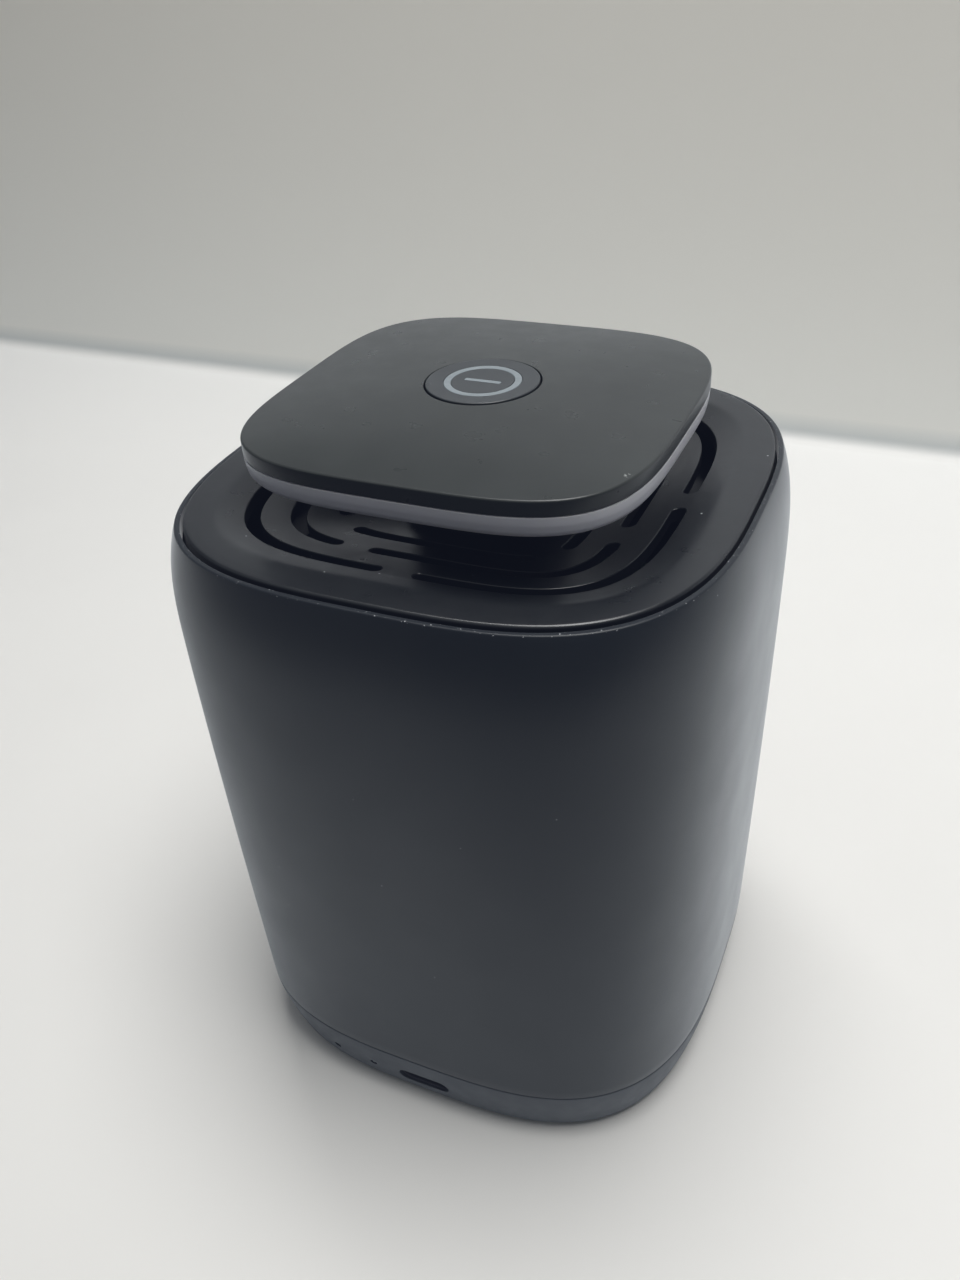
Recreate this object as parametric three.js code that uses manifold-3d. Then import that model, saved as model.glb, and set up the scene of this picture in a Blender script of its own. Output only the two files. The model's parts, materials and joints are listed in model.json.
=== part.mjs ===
// Mesh wifi node: a squircle tower with a floating cap, in millimetres, +Z up.
// The origin is the middle of the plane that the feet stand on, and -Y is the face with the USB-C inlet.
// The shell is a base ring, a metal sleeve and a sunken top grille. A pedestal carries the cap, which has a
// light ring all round and a power button that works a switch. Inside stand a chassis, a main board with its
// heat sink, two antennas and a port board.
import * as THREE from "three";
import { mergeVertices } from "three/addons/utils/BufferGeometryUtils.js";
import Module from "manifold-3d";

const wasm = await Module();
wasm.setup();

// ---------------------------------------------------------------- driving dimensions

const FACETS = 48; // round a squircle, a multiple of 8 so that its flats and corners have points
const ROUND = 24; // round a turned piece
const FINE_ROUND = 32; // round the power button and the ring on it
const FINE = 12; // round a screw or a pin
const CLEAR = 0.3; // between pieces that pass or cut one another
const TOUCH = 0.05; // between faces that rest on one another
const PAST = 1; // how far a cutting tool runs past the face that it opens

// The body: half-widths across the flats, and the power of the plan outline |x|^p + |y|^p = half^p.
const BODY_POWER = 3.1;
const FLOOR_Z = 0.8; // underside of the base, above the plane of the feet
const SEAM_Z = 11.4;
const SEAM_HALF = 41.0;
const BASE_TUCK = 2.5; // how far the base draws in from the seam to the ground
const WIDEST_Z = 83.0;
const WIDEST_HALF = 42.2;
const RIM_Z = 100.7;
const RIM_HALF = 40.3;
const SLEEVE_WALL = 1.6;
const SLEEVE_ROWS = { outside: [35, 60, WIDEST_Z, 91, 95, 98], inside: [94, 60] }; // heights of its points
const SLEEVE_LIP = { gap: 0.4, chamfer: 0.15 }; // round the grille's edge
const SLEEVE_SEAT = { half: 40.2, bottom: 96.9, lipBottom: 98.65 }; // the groove for the grille's shoulder

// The base and what lies in it.
const PLATE_HALF = 35.0;
const PLATE_TOP = 2.95;
const LEDGE_HALF = 30.0; // inner edge of the base ring's ledge, which the plate clamps to the posts
const LEDGE_TOP = 4.4;
const BASE = { innerHalf: 37.4, lipTop: 14.5, lipGap: 0.4, rows: [2.2, 4, 6, 8.5] };
const BASE_EDGE = { flat: 1.1, inset: 0.3, height: 0.4 }; // the rounded edge round its underside
const NOTCH_HALF = 22.5; // half-width of the gap in the ledge that the port board lies in
const FOOT = { place: 24.5, radius: 5.0, recess: 0.5, edge: 0.5, edgeHeight: 0.4 };
const PORT_Z = 5.6;
const PORT = { width: 8.94, height: 3.2, mouth: -39.3, back: -32.0, shell: 0.3, backWall: 1.0 };
const TONGUE = { half: 3.35, mouth: -38.2, below: 0.3, above: 0.4 };
const PORT_BOARD_TOP = PORT_Z - PORT.height / 2;
const PORT_BOARD = { half: 21.5, noseHalf: 12.0, nose: -36.4, front: -34.5, rear: 10.0 };
const HOLE_Z = 5.5;
const HOLE_RADIUS = 0.6;
const LED_X = -9.7;
const RESET_X = -17.2;
const RESET_TRAVEL = 0.3;
const RESET_SWITCH = { half: 2.3, top: 7.2, front: -34.5, rear: -31.0, hole: 1.1, bore: 2.4 };
const RESET_PLUNGER = { radius: 0.8, standOut: 1.2 };
const STATUS_LED = { half: 0.8, front: -33.6, rear: -32.4, top: 6.4 };
const PIPE = { tip: 0.4, tipFront: -39.6, stem: 1.3, stemFront: -36.7, stemRear: -33.7, heel: 0.9 };
const PIPE_HEEL = { front: -36.2, rear: -34.6 };

// The sunken top grille: rings of slots that step down a shallow dish.
const GRILLE_TOP = 101.2;
const GRILLE_EDGE_HALF = 39.2;
const GRILLE_THICK = 2.0;
const GRILLE_SKIRT = { inner: 36.8, outer: 38.4, bottom: 92.5, top: 98.6 };
const GRILLE_SHOULDER = { half: 39.85, bottom: 97.2, top: 98.3, slope: 0.2 };
const GRILLE_BOSS = { radius: 2.8, top: 99.2, pilotTop: 96.0 };
const DISH_HALF = 34.2;
const DISH_TOP = 100.95;
const DISH_SLOPE = 0.22;
const DISH_FLOOR_RADIUS = 12.8;
const SLOT_WIDTH = 2.1;
const BRIDGE = 4.4; // between the round ends of two slots of a ring
const SWIRL = THREE.MathUtils.degToRad(22); // turn of each ring's bridges against the ring outside it
const SLOT_RINGS = [
  { half: 30.5, power: 3.9 },
  { half: 24.5, power: 4.6 },
  { half: 18.7, power: 5.2 },
];
const VENT_RINGS = [
  { half: 27.5, power: 3.6 },
  { half: 21.5, power: 4.0 },
];

// The cap: a tray on the pedestal, the light ring round it, and the domed shell over both.
const CAP_POWER = 3.8;
const CAP_HALF = 29.2;
const CAP_UNDER_Z = 106.9;
const LIGHT_TOP_Z = 109.85;
const CREASE_Z = 112.1;
const CAP_TOP_Z = 114.1;
const CAP_WALL = 1.6;
const CAP_DOME = [{ half: 22, power: 3.2 }, { half: 15, power: 2.6 }]; // square edge to round hole
const CAP_LEG = { half: 3.0, outer: 24.3, inner: 23.1, bottom: 108.5, top: 111.7 };
const LIGHT = { innerHalf: 26.5, flangeHalf: 24.6, flangeBottom: 109.15, tuck: 0.9, edge: 0.4 };
const TRAY = { half: 26.2, innerHalf: 24.8, top: 109.1 };
const PEDESTAL_RADIUS = 10.5;
const PEDESTAL_BORE = 6.5;
const PEDESTAL_SCREW_RADIUS = 8.5; // the circle that the pedestal's screws stand on
const PEDESTAL_FLANGE = 1.2;
const PEDESTAL_PILOT = 4.5;
const BUTTON_RADIUS = 8.05;
const BUTTON_DISH = 0.1; // how far the middle of its top lies below the edge
const BUTTON_TRAVEL = 0.5;
const BUTTON_FLANGE = { radius: 9.4, thick: 0.8, gap: 0.2 };
const BUTTON_STEM = 2.0;
const SYMBOL = { inner: 4.5, outer: 5.5, bar: 5.4, barWidth: 0.8, depth: 0.5, margin: 0.1 };
const CAP_BOARD = { half: 22.8, bottom: 108.25, top: 109.25 };
const SWITCH = { half: 3.1, top: 110.5, hole: 1.9, floor: 0.25, plunger: 1.6 };
const PLUNGER_TOP = 111.1;
const PLUNGER_BOTTOM = CAP_BOARD.top + TOUCH + SWITCH.floor + BUTTON_TRAVEL + TOUCH;
const RING_LED = { left: 7.6, right: 10.4, front: -22.3, rear: -21.1, top: 110.2 };
const RIBBON = { half: 4.0, thick: 0.4, off: 0.6 }; // off is its distance from the main board's rear face

// The chassis and the boards in it.
const POST = { radius: 3.6, bottom: LEDGE_TOP + TOUCH, pilotTop: 12.0 };
const LOWER_DECK = [20.0, 22.0];
const UPPER_DECK = [88.0, 90.0];
const DECK_HALF = 36.8;
const DECK_HOLE_HALF = 27.0;
const RAIL = { inner: 30.4, outer: 34.4, front: -7.0, rear: 13.0, groove: 0.2 };
const LUG = { inner: 26.5, bottom: 52.0, top: 58.0, depth: 4.0, screwX: 28.6, screwZ: 55.0 };
const BOARD = { half: 31.5, front: 3.2, rear: 4.8, top: 86.0, shoulder: 24.0, bottom: 7.3, tongue: 18.0 };
const SINK = { half: 23.0, bottom: 26.0, top: 82.0, base: 3.0, depth: 14.0, fins: 9, fin: 1.3, boss: 2.4 };
const SINK_SCREWS = [[-19, 55], [19, 33]]; // across and up the board
const PROCESSOR = { half: 13.0, bottom: 41.0, top: 67.0, front: 1.0, padMargin: 1.0 };
const RADIO = { near: 3.0, far: 26.0, bottom: 60.0, top: 80.0, rear: 7.0 };
const SOCKET = { half: 20.0, front: 0.8, rear: 7.2, top: 9.5, slotBottom: 7.0 };
const ANTENNA = { left: 8.0, right: 24.0, front: -30.6, thick: 0.6, sole: 3.0, height: 6.0 };
const LEAD_RADIUS = 0.6;
const SCREW = { head: 1.8, headHeight: 1.0, shank: 0.9, hole: 1.2 };
const SCREW_LENGTH = { base: 7.5, tray: 5.0, pedestal: 5.5, board: 4.5, top: 7.0, sink: 6.5 };
const TOP_SCREW_PLACE = 34.2;

// ---------------------------------------------------------------- shape helpers

function solidOf(geometry) {
  const bare = geometry.index ? geometry.toNonIndexed() : geometry.clone();
  bare.deleteAttribute("normal");
  bare.deleteAttribute("uv");
  const merged = mergeVertices(bare, 1e-4);
  const mesh = new wasm.Mesh({
    numProp: 3,
    vertProperties: merged.attributes.position.array,
    triVerts: new Uint32Array(merged.index.array),
  });
  return new wasm.Manifold(mesh);
}

function geometryOf(solid) {
  const mesh = solid.getMesh();
  const geometry = new THREE.BufferGeometry();
  geometry.setAttribute("position", new THREE.BufferAttribute(new Float32Array(mesh.vertProperties), 3));
  geometry.setIndex(new THREE.BufferAttribute(new Uint32Array(mesh.triVerts), 1));
  const flat = geometry.toNonIndexed();
  flat.computeVertexNormals();
  return flat;
}

function joined(...geometries) {
  return geometryOf(geometries.map(solidOf).reduce((whole, piece) => whole.add(piece)));
}

function cut(geometry, ...tools) {
  return geometryOf(tools.map(solidOf).reduce((left, tool) => left.subtract(tool), solidOf(geometry)));
}

function shared(first, second) {
  return geometryOf(solidOf(first).intersect(solidOf(second)));
}

// How far a squircle of unit half-width reaches at a polar angle.
function reach(angle, power) {
  const across = Math.abs(Math.cos(angle)) ** power;
  const along = Math.abs(Math.sin(angle)) ** power;
  return (across + along) ** (-1 / power);
}

// A profile of [radius, z] points turned about Z. It runs anticlockwise, with the outside going up, and
// either starts and ends on the axis or is closed here.
function turned(profile, facets = ROUND) {
  const points = profile.map(([radius, z]) => new THREE.Vector2(radius, z));
  if (points[0].x > 0) {
    points.push(points[0].clone());
  }
  return new THREE.LatheGeometry(points, facets).rotateX(Math.PI / 2);
}

// The same with squircles for circles: each point is [half-width, z, power of its outline].
function squircleTurned(profile, facets = FACETS) {
  const geometry = turned(profile, facets);
  const rows = profile[0][0] > 0 ? profile.length + 1 : profile.length;
  const position = geometry.attributes.position;
  for (let i = 0; i < position.count; i++) {
    const x = position.getX(i);
    const y = position.getY(i);
    const power = profile[(i % rows) % profile.length][2] ?? BODY_POWER;
    const stretch = reach(Math.atan2(y, x), power);
    position.setXY(i, x * stretch, y * stretch);
  }
  return geometry;
}

function squirclePrism(half, power, bottom, top) {
  return squircleTurned([[0, bottom, power], [half, bottom, power], [half, top, power], [0, top, power]]);
}

function block(low, high) {
  const size = high.map((value, axis) => value - low[axis]);
  const middle = high.map((value, axis) => (value + low[axis]) / 2);
  return new THREE.BoxGeometry(...size).translate(...middle);
}

function rod(radius, bottom, top, x = 0, y = 0, facets = FINE) {
  const geometry = new THREE.CylinderGeometry(radius, radius, top - bottom, facets);
  return geometry.rotateX(Math.PI / 2).translate(x, y, (top + bottom) / 2);
}

// A rod along Y from front to rear.
function pin(radius, front, rear, x, z, facets = FINE) {
  return new THREE.CylinderGeometry(radius, radius, rear - front, facets).translate(x, (front + rear) / 2, z);
}

// A flat outline of [x, y] points raised between two heights.
function slab(outline, bottom, top) {
  const shape = new THREE.Shape(outline.map(([x, y]) => new THREE.Vector2(x, y)));
  const options = { depth: top - bottom, bevelEnabled: false, curveSegments: 6 };
  return new THREE.ExtrudeGeometry(shape, options).translate(0, 0, bottom);
}

// The same with the outline in X and Z, raised along Y from front to rear.
function upright(outline, front, rear) {
  const flipped = outline.map(([x, z]) => [x, -z]).reverse();
  return slab(flipped, front, rear).rotateX(-Math.PI / 2);
}

function stadium(width, height, x, z) {
  const radius = height / 2;
  const middle = width / 2 - radius;
  const steps = 8;
  const outline = [];
  for (const side of [1, -1]) {
    for (let i = 0; i <= steps; i++) {
      const angle = Math.PI * (i / steps - 0.5);
      outline.push([x + side * (middle + radius * Math.cos(angle)), z + side * radius * Math.sin(angle)]);
    }
  }
  return outline;
}

// A screw on the Z axis, its shank down from z = 0 and its head above.
function screw(length) {
  const { head, headHeight, shank } = SCREW;
  const shaft = [[0, -length], [shank, -length], [shank, 0]];
  return turned([...shaft, [head, 0], [head, headHeight], [0, headHeight]], FINE);
}

// The slots of one ring: four round-ended channels along a squircle, cut from bottom to top.
function ringSlots({ half, power }, turn, bottom, top) {
  const middle = half - SLOT_WIDTH / 2;
  const smallTurn = 0.002;
  const spot = (angle) => {
    const away = middle * reach(angle, power);
    return new THREE.Vector2(away * Math.cos(angle), away * Math.sin(angle));
  };
  const side = (angle) => {
    const tangent = spot(angle + smallTurn / 2).sub(spot(angle - smallTurn / 2)).normalize();
    return new THREE.Vector2(tangent.y, -tangent.x);
  };
  const clearOf = (bridge, way) => {
    let angle = bridge;
    while (spot(angle).distanceTo(spot(bridge)) < (BRIDGE + SLOT_WIDTH) / 2) {
      angle += way * smallTurn;
    }
    return angle;
  };
  const steps = 10;
  const endSteps = 3;
  const slots = [];
  for (let quarter = 0; quarter < 4; quarter++) {
    const start = clearOf((quarter * Math.PI) / 2 - turn, 1);
    const end = clearOf(((quarter + 1) * Math.PI) / 2 - turn, -1);
    const outline = [];
    const edge = (angle, sign) => {
      outline.push(spot(angle).addScaledVector(side(angle), (sign * SLOT_WIDTH) / 2));
    };
    const roundEnd = (angle, from) => {
      const spoke = side(angle).multiplyScalar((from * SLOT_WIDTH) / 2);
      for (let i = 1; i < endSteps; i++) {
        const swung = spoke.clone().rotateAround(new THREE.Vector2(), (Math.PI * i) / endSteps);
        outline.push(spot(angle).add(swung));
      }
    };
    for (let i = 0; i <= steps; i++) {
      edge(start + ((end - start) * i) / steps, 1);
    }
    roundEnd(end, 1);
    for (let i = steps; i >= 0; i--) {
      edge(start + ((end - start) * i) / steps, -1);
    }
    roundEnd(start, -1);
    slots.push(slab(outline.map((point) => [point.x, point.y]), bottom, top));
  }
  return slots;
}

function swirlSlots(rings, bottom, top) {
  return rings.flatMap((ring, index) => ringSlots(ring, index * SWIRL, bottom, top));
}

const CORNERS = [[-1, -1], [1, -1], [1, 1], [-1, 1]];
const CORNER_NAMES = ["front_left", "front_right", "rear_right", "rear_left"];
const SIDES = [-1, 1];
const QUARTERS = [0, 1, 2, 3].map((quarter) => (quarter * Math.PI) / 2);

// ---------------------------------------------------------------- outlines shared by several pieces

function baseHalf(z) {
  return SEAM_HALF - BASE_TUCK * ((SEAM_Z - z) / SEAM_Z) ** 1.5;
}

function sleeveHalf(z) {
  if (z < WIDEST_Z) {
    return WIDEST_HALF - (WIDEST_HALF - SEAM_HALF) * ((WIDEST_Z - z) / (WIDEST_Z - SEAM_Z)) ** 1.5;
  }
  return WIDEST_HALF - (WIDEST_HALF - RIM_HALF) * ((z - WIDEST_Z) / (RIM_Z - WIDEST_Z)) ** 3.4;
}

function dishZ(half) {
  return DISH_TOP - Math.max(0, DISH_HALF - half) * DISH_SLOPE;
}

function domeZ(half) {
  return CAP_TOP_Z - (CAP_TOP_Z - CREASE_Z) * (half / CAP_HALF) ** 2;
}

// ---------------------------------------------------------------- the shell

function bottomPlate() {
  const plate = squirclePrism(PLATE_HALF, BODY_POWER, FLOOR_Z, PLATE_TOP);
  const recessTop = FLOOR_Z + FOOT.recess;
  const headTop = recessTop + SCREW.headHeight + 2 * TOUCH;
  const tools = CORNERS.flatMap(([sx, sy]) => {
    const x = sx * FOOT.place;
    const y = sy * FOOT.place;
    return [
      rod(FOOT.radius + CLEAR, 0, recessTop, x, y, ROUND),
      rod(SCREW.head + CLEAR, 0, headTop, x, y),
      rod(SCREW.hole, 0, PLATE_TOP + PAST, x, y),
    ];
  });
  return cut(plate, ...tools, ...swirlSlots(VENT_RINGS, 0, PLATE_TOP + PAST));
}

function foot() {
  const { radius, recess, edge, edgeHeight } = FOOT;
  const top = FLOOR_Z + recess - TOUCH;
  return turned([[0, 0], [radius - edge, 0], [radius, edgeHeight], [radius, top], [0, top]]);
}

function baseRing() {
  const lipHalf = SEAM_HALF - SLEEVE_WALL - BASE.lipGap;
  const ringTop = SEAM_Z - CLEAR / 2;
  const innerHalf = PLATE_HALF + CLEAR;
  const ledgeBottom = PLATE_TOP + TOUCH;
  const outside = [...BASE.rows, ringTop].map((z) => [baseHalf(z), z]);
  const ring = squircleTurned([
    [innerHalf, FLOOR_Z],
    [baseHalf(FLOOR_Z) - BASE_EDGE.flat, FLOOR_Z],
    [baseHalf(FLOOR_Z) - BASE_EDGE.inset, FLOOR_Z + BASE_EDGE.height],
    ...outside,
    [lipHalf, ringTop],
    [lipHalf, BASE.lipTop],
    [BASE.innerHalf, BASE.lipTop],
    [BASE.innerHalf, LEDGE_TOP],
    [LEDGE_HALF, LEDGE_TOP],
    [LEDGE_HALF, ledgeBottom],
    [innerHalf, ledgeBottom],
  ]);
  const outer = -SEAM_HALF - PAST;
  const inner = -LEDGE_HALF;
  const inlet = upright(stadium(PORT.width + CLEAR, PORT.height + CLEAR, 0, PORT_Z), outer, inner);
  const holes = [LED_X, RESET_X].map((x) => pin(HOLE_RADIUS, outer, inner, x, HOLE_Z));
  const notch = shared(
    squirclePrism(BASE.innerHalf + TOUCH, BODY_POWER, PLATE_TOP - PAST, LEDGE_TOP + PAST),
    block([-NOTCH_HALF, outer, PLATE_TOP - CLEAR], [NOTCH_HALF, inner / 2, LEDGE_TOP + CLEAR / 2]),
  );
  const screwHoles = CORNERS.map(([sx, sy]) => {
    return rod(SCREW.hole, 0, LEDGE_TOP + PAST, sx * FOOT.place, sy * FOOT.place);
  });
  return cut(ring, inlet, ...holes, notch, ...screwHoles);
}

function outerSleeve() {
  const bottom = SEAM_Z + CLEAR / 2;
  const { gap, chamfer } = SLEEVE_LIP;
  const { half: seatHalf, bottom: seatBottom, lipBottom } = SLEEVE_SEAT;
  const lipHalf = GRILLE_EDGE_HALF + gap;
  const outside = [bottom, ...SLEEVE_ROWS.outside].map((z) => [sleeveHalf(z), z]);
  const inside = [...SLEEVE_ROWS.inside, bottom].map((z) => [sleeveHalf(z) - SLEEVE_WALL, z]);
  return squircleTurned([
    ...outside,
    [RIM_HALF, RIM_Z - chamfer],
    [RIM_HALF - chamfer, RIM_Z],
    [lipHalf, RIM_Z],
    [lipHalf, lipBottom],
    [seatHalf, lipBottom],
    [seatHalf, seatBottom],
    ...inside,
  ]);
}

function topGrille() {
  const under = (half) => dishZ(half) - GRILLE_THICK;
  const floorTop = dishZ(DISH_FLOOR_RADIUS);
  const skirt = GRILLE_SKIRT;
  const shoulder = GRILLE_SHOULDER;
  const rimFloor = DISH_HALF - 1.2; // where the rim's round turns into the dish
  const plate = squircleTurned([
    [PEDESTAL_BORE, floorTop - GRILLE_THICK, 2],
    [DISH_FLOOR_RADIUS, floorTop - GRILLE_THICK, 2.4],
    [DISH_HALF, under(DISH_HALF), 3.6],
    [skirt.inner, skirt.top],
    [skirt.inner, skirt.bottom],
    [skirt.outer, skirt.bottom],
    [skirt.outer, shoulder.bottom - shoulder.slope],
    [shoulder.half, shoulder.bottom],
    [shoulder.half, shoulder.top],
    [GRILLE_EDGE_HALF, shoulder.top + shoulder.slope],
    [GRILLE_EDGE_HALF, GRILLE_TOP - 0.7],
    [GRILLE_EDGE_HALF - 0.25, GRILLE_TOP - 0.2],
    [GRILLE_EDGE_HALF - 0.8, GRILLE_TOP],
    [DISH_HALF + 0.4, GRILLE_TOP - 0.1, 3.5],
    [rimFloor, dishZ(rimFloor), 3.7],
    ...SLOT_RINGS.map(({ half, power }) => [half - SLOT_WIDTH / 2, dishZ(half - SLOT_WIDTH / 2), power]),
    [DISH_FLOOR_RADIUS, floorTop, 2.4],
    [PEDESTAL_BORE, floorTop, 2],
  ]);
  const bossBottom = UPPER_DECK[1] + TOUCH;
  const places = SIDES.map((side) => [0, side * TOP_SCREW_PLACE]);
  const bosses = places.map(([x, y]) => rod(GRILLE_BOSS.radius, bossBottom, GRILLE_BOSS.top, x, y));
  const pilots = places.map(([x, y]) => rod(SCREW.hole, bossBottom - PAST, GRILLE_BOSS.pilotTop, x, y));
  const low = floorTop - GRILLE_THICK - PAST;
  const high = GRILLE_TOP + PAST;
  const pedestalHoles = pedestalScrewPlaces(0).map(([x, y]) => rod(SCREW.hole, low, high, x, y));
  const slots = swirlSlots(SLOT_RINGS, low, high);
  return cut(joined(plate, ...bosses), ...pilots, ...pedestalHoles, ...slots);
}

// Two places on the pedestal's screw circle, turned from the X axis.
function pedestalScrewPlaces(turn) {
  return [0, Math.PI].map((half) => {
    const angle = turn + half;
    return [PEDESTAL_SCREW_RADIUS * Math.cos(angle), PEDESTAL_SCREW_RADIUS * Math.sin(angle)];
  });
}

// ---------------------------------------------------------------- the cap

function pedestal() {
  const bottom = dishZ(DISH_FLOOR_RADIUS) + TOUCH;
  const top = CAP_UNDER_Z - TOUCH;
  const flangeRadius = DISH_FLOOR_RADIUS - 0.5;
  const flangeTop = bottom + PEDESTAL_FLANGE;
  const pilot = PEDESTAL_PILOT;
  const tube = turned([
    [PEDESTAL_BORE, bottom],
    [flangeRadius, bottom],
    [flangeRadius, flangeTop],
    [PEDESTAL_RADIUS, flangeTop + 1],
    [PEDESTAL_RADIUS, top],
    [PEDESTAL_BORE, top],
  ]);
  const pilotRod = (low, high) => ([x, y]) => rod(SCREW.hole, low, high, x, y);
  const lower = pedestalScrewPlaces(0).map(pilotRod(bottom - PAST, bottom + pilot));
  const upper = pedestalScrewPlaces(Math.PI / 2).map(pilotRod(top - pilot, top + PAST));
  return cut(tube, ...lower, ...upper);
}

function capTray() {
  const floorTop = CAP_BOARD.bottom - TOUCH;
  const tray = squircleTurned([
    [PEDESTAL_BORE, CAP_UNDER_Z, 2],
    [TRAY.half, CAP_UNDER_Z, CAP_POWER],
    [TRAY.half, TRAY.top, CAP_POWER],
    [TRAY.innerHalf, TRAY.top, CAP_POWER],
    [TRAY.innerHalf, floorTop, CAP_POWER],
    [PEDESTAL_BORE, floorTop, 2],
  ]);
  const holes = pedestalScrewPlaces(Math.PI / 2).map(([x, y]) => {
    return rod(SCREW.hole, CAP_UNDER_Z - PAST, floorTop + PAST, x, y);
  });
  return cut(tray, ...holes);
}

function lightRing() {
  const { innerHalf, flangeHalf, flangeBottom, tuck, edge } = LIGHT;
  const profile = [
    [innerHalf, CAP_UNDER_Z],
    [CAP_HALF - tuck, CAP_UNDER_Z],
    [CAP_HALF - tuck + edge, CAP_UNDER_Z + edge],
    [CAP_HALF, LIGHT_TOP_Z],
    [flangeHalf, LIGHT_TOP_Z],
    [flangeHalf, flangeBottom],
    [innerHalf, flangeBottom],
  ];
  return squircleTurned(profile.map(([half, z]) => [half, z, CAP_POWER]));
}

function capShell() {
  const bottom = LIGHT_TOP_Z + 2 * TOUCH;
  const creaseHalf = CAP_HALF - 0.25;
  const dome = CAP_DOME.map(({ half, power }) => [half, domeZ(half), power]);
  const inside = CAP_DOME.map(({ half, power }) => [half, domeZ(half) - CAP_WALL, power]).reverse();
  const hole = BUTTON_RADIUS + CLEAR;
  const innerHalf = CAP_HALF - CAP_WALL;
  const shell = squircleTurned([
    [innerHalf, bottom, CAP_POWER],
    [CAP_HALF, bottom, CAP_POWER],
    [CAP_HALF, CREASE_Z - 0.2, CAP_POWER],
    [creaseHalf, CREASE_Z + 0.05, CAP_POWER],
    ...dome,
    [hole, domeZ(hole), 2],
    [hole, domeZ(hole) - CAP_WALL, 2],
    ...inside,
    [innerHalf, CREASE_Z - CAP_WALL, CAP_POWER],
  ]);
  const leg = CAP_LEG;
  const legs = QUARTERS.map((quarter) => {
    return block([-leg.half, -leg.outer, leg.bottom], [leg.half, -leg.inner, leg.top]).rotateZ(quarter);
  });
  return joined(shell, ...legs);
}

// The button's top, a shallow dish that stands a little proud of the shell round it.
function buttonZ(radius) {
  return CAP_TOP_Z - BUTTON_DISH * (1 - (radius / BUTTON_RADIUS) ** 2);
}

function powerButton() {
  const chamfer = 0.2;
  const flange = BUTTON_FLANGE;
  const flangeTop = domeZ(BUTTON_RADIUS + CLEAR) - CAP_WALL - flange.gap;
  const flangeBottom = flangeTop - flange.thick;
  const grooveFloor = CAP_TOP_Z - SYMBOL.depth;
  const grooveInner = SYMBOL.inner - SYMBOL.margin;
  const grooveOuter = SYMBOL.outer + SYMBOL.margin;
  const body = turned([
    [0, PLUNGER_TOP + TOUCH],
    [BUTTON_STEM, PLUNGER_TOP + TOUCH],
    [BUTTON_STEM, flangeBottom],
    [flange.radius, flangeBottom],
    [flange.radius, flangeTop],
    [BUTTON_RADIUS, flangeTop],
    [BUTTON_RADIUS, CAP_TOP_Z - chamfer],
    [BUTTON_RADIUS - chamfer, CAP_TOP_Z],
    [grooveOuter, buttonZ(grooveOuter)],
    [grooveOuter, grooveFloor],
    [grooveInner, grooveFloor],
    [grooveInner, buttonZ(grooveInner)],
    [0, buttonZ(0)],
  ], FINE_ROUND);
  return cut(body, symbolBar(SYMBOL.margin, CAP_TOP_Z + PAST));
}

function symbolRing() {
  const floor = CAP_TOP_Z - SYMBOL.depth + TOUCH;
  return turned([
    [SYMBOL.inner, floor],
    [SYMBOL.outer, floor],
    [SYMBOL.outer, buttonZ(SYMBOL.outer)],
    [SYMBOL.inner, buttonZ(SYMBOL.inner)],
  ], FINE_ROUND);
}

// The bar of the power symbol, or with a margin the slot that it lies in.
function symbolBar(margin, top) {
  const halfLength = SYMBOL.bar / 2 + margin;
  const halfWidth = SYMBOL.barWidth / 2 + margin;
  const floor = CAP_TOP_Z - SYMBOL.depth + (margin ? 0 : TOUCH);
  return block([-halfLength, -halfWidth, floor], [halfLength, halfWidth, top]);
}

function capBoard() {
  const { half, bottom, top } = CAP_BOARD;
  const board = squirclePrism(half, CAP_POWER, bottom, top);
  const holes = pedestalScrewPlaces(Math.PI / 2).map(([x, y]) => {
    return rod(SCREW.head + CLEAR, bottom - PAST, top + PAST, x, y);
  });
  return cut(board, ...holes);
}

function powerSwitchBody() {
  const { half, top, hole, floor } = SWITCH;
  const bottom = CAP_BOARD.top + TOUCH;
  const body = block([-half, -half, bottom], [half, half, top]);
  return cut(body, rod(hole, bottom + floor, top + PAST, 0, 0, ROUND));
}

// The ribbon from the cap's board down through the pedestal to the main board's connector.
function capRibbon() {
  const { half, thick, off } = RIBBON;
  const rearY = BOARD.rear + off;
  const run = [[0, CAP_BOARD.bottom - TOUCH], [0, 96], [rearY + 1, 89], [rearY + 1, 86.6], [rearY, 84.2]];
  const outline = [...run, ...run.map(([y, z]) => [y - thick, z]).reverse()];
  const strip = slab(outline, -half, half); // drawn in Y and Z, so it is turned to stand across X
  return strip.rotateX(Math.PI / 2).rotateZ(Math.PI / 2);
}

// ---------------------------------------------------------------- the chassis and boards

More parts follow.
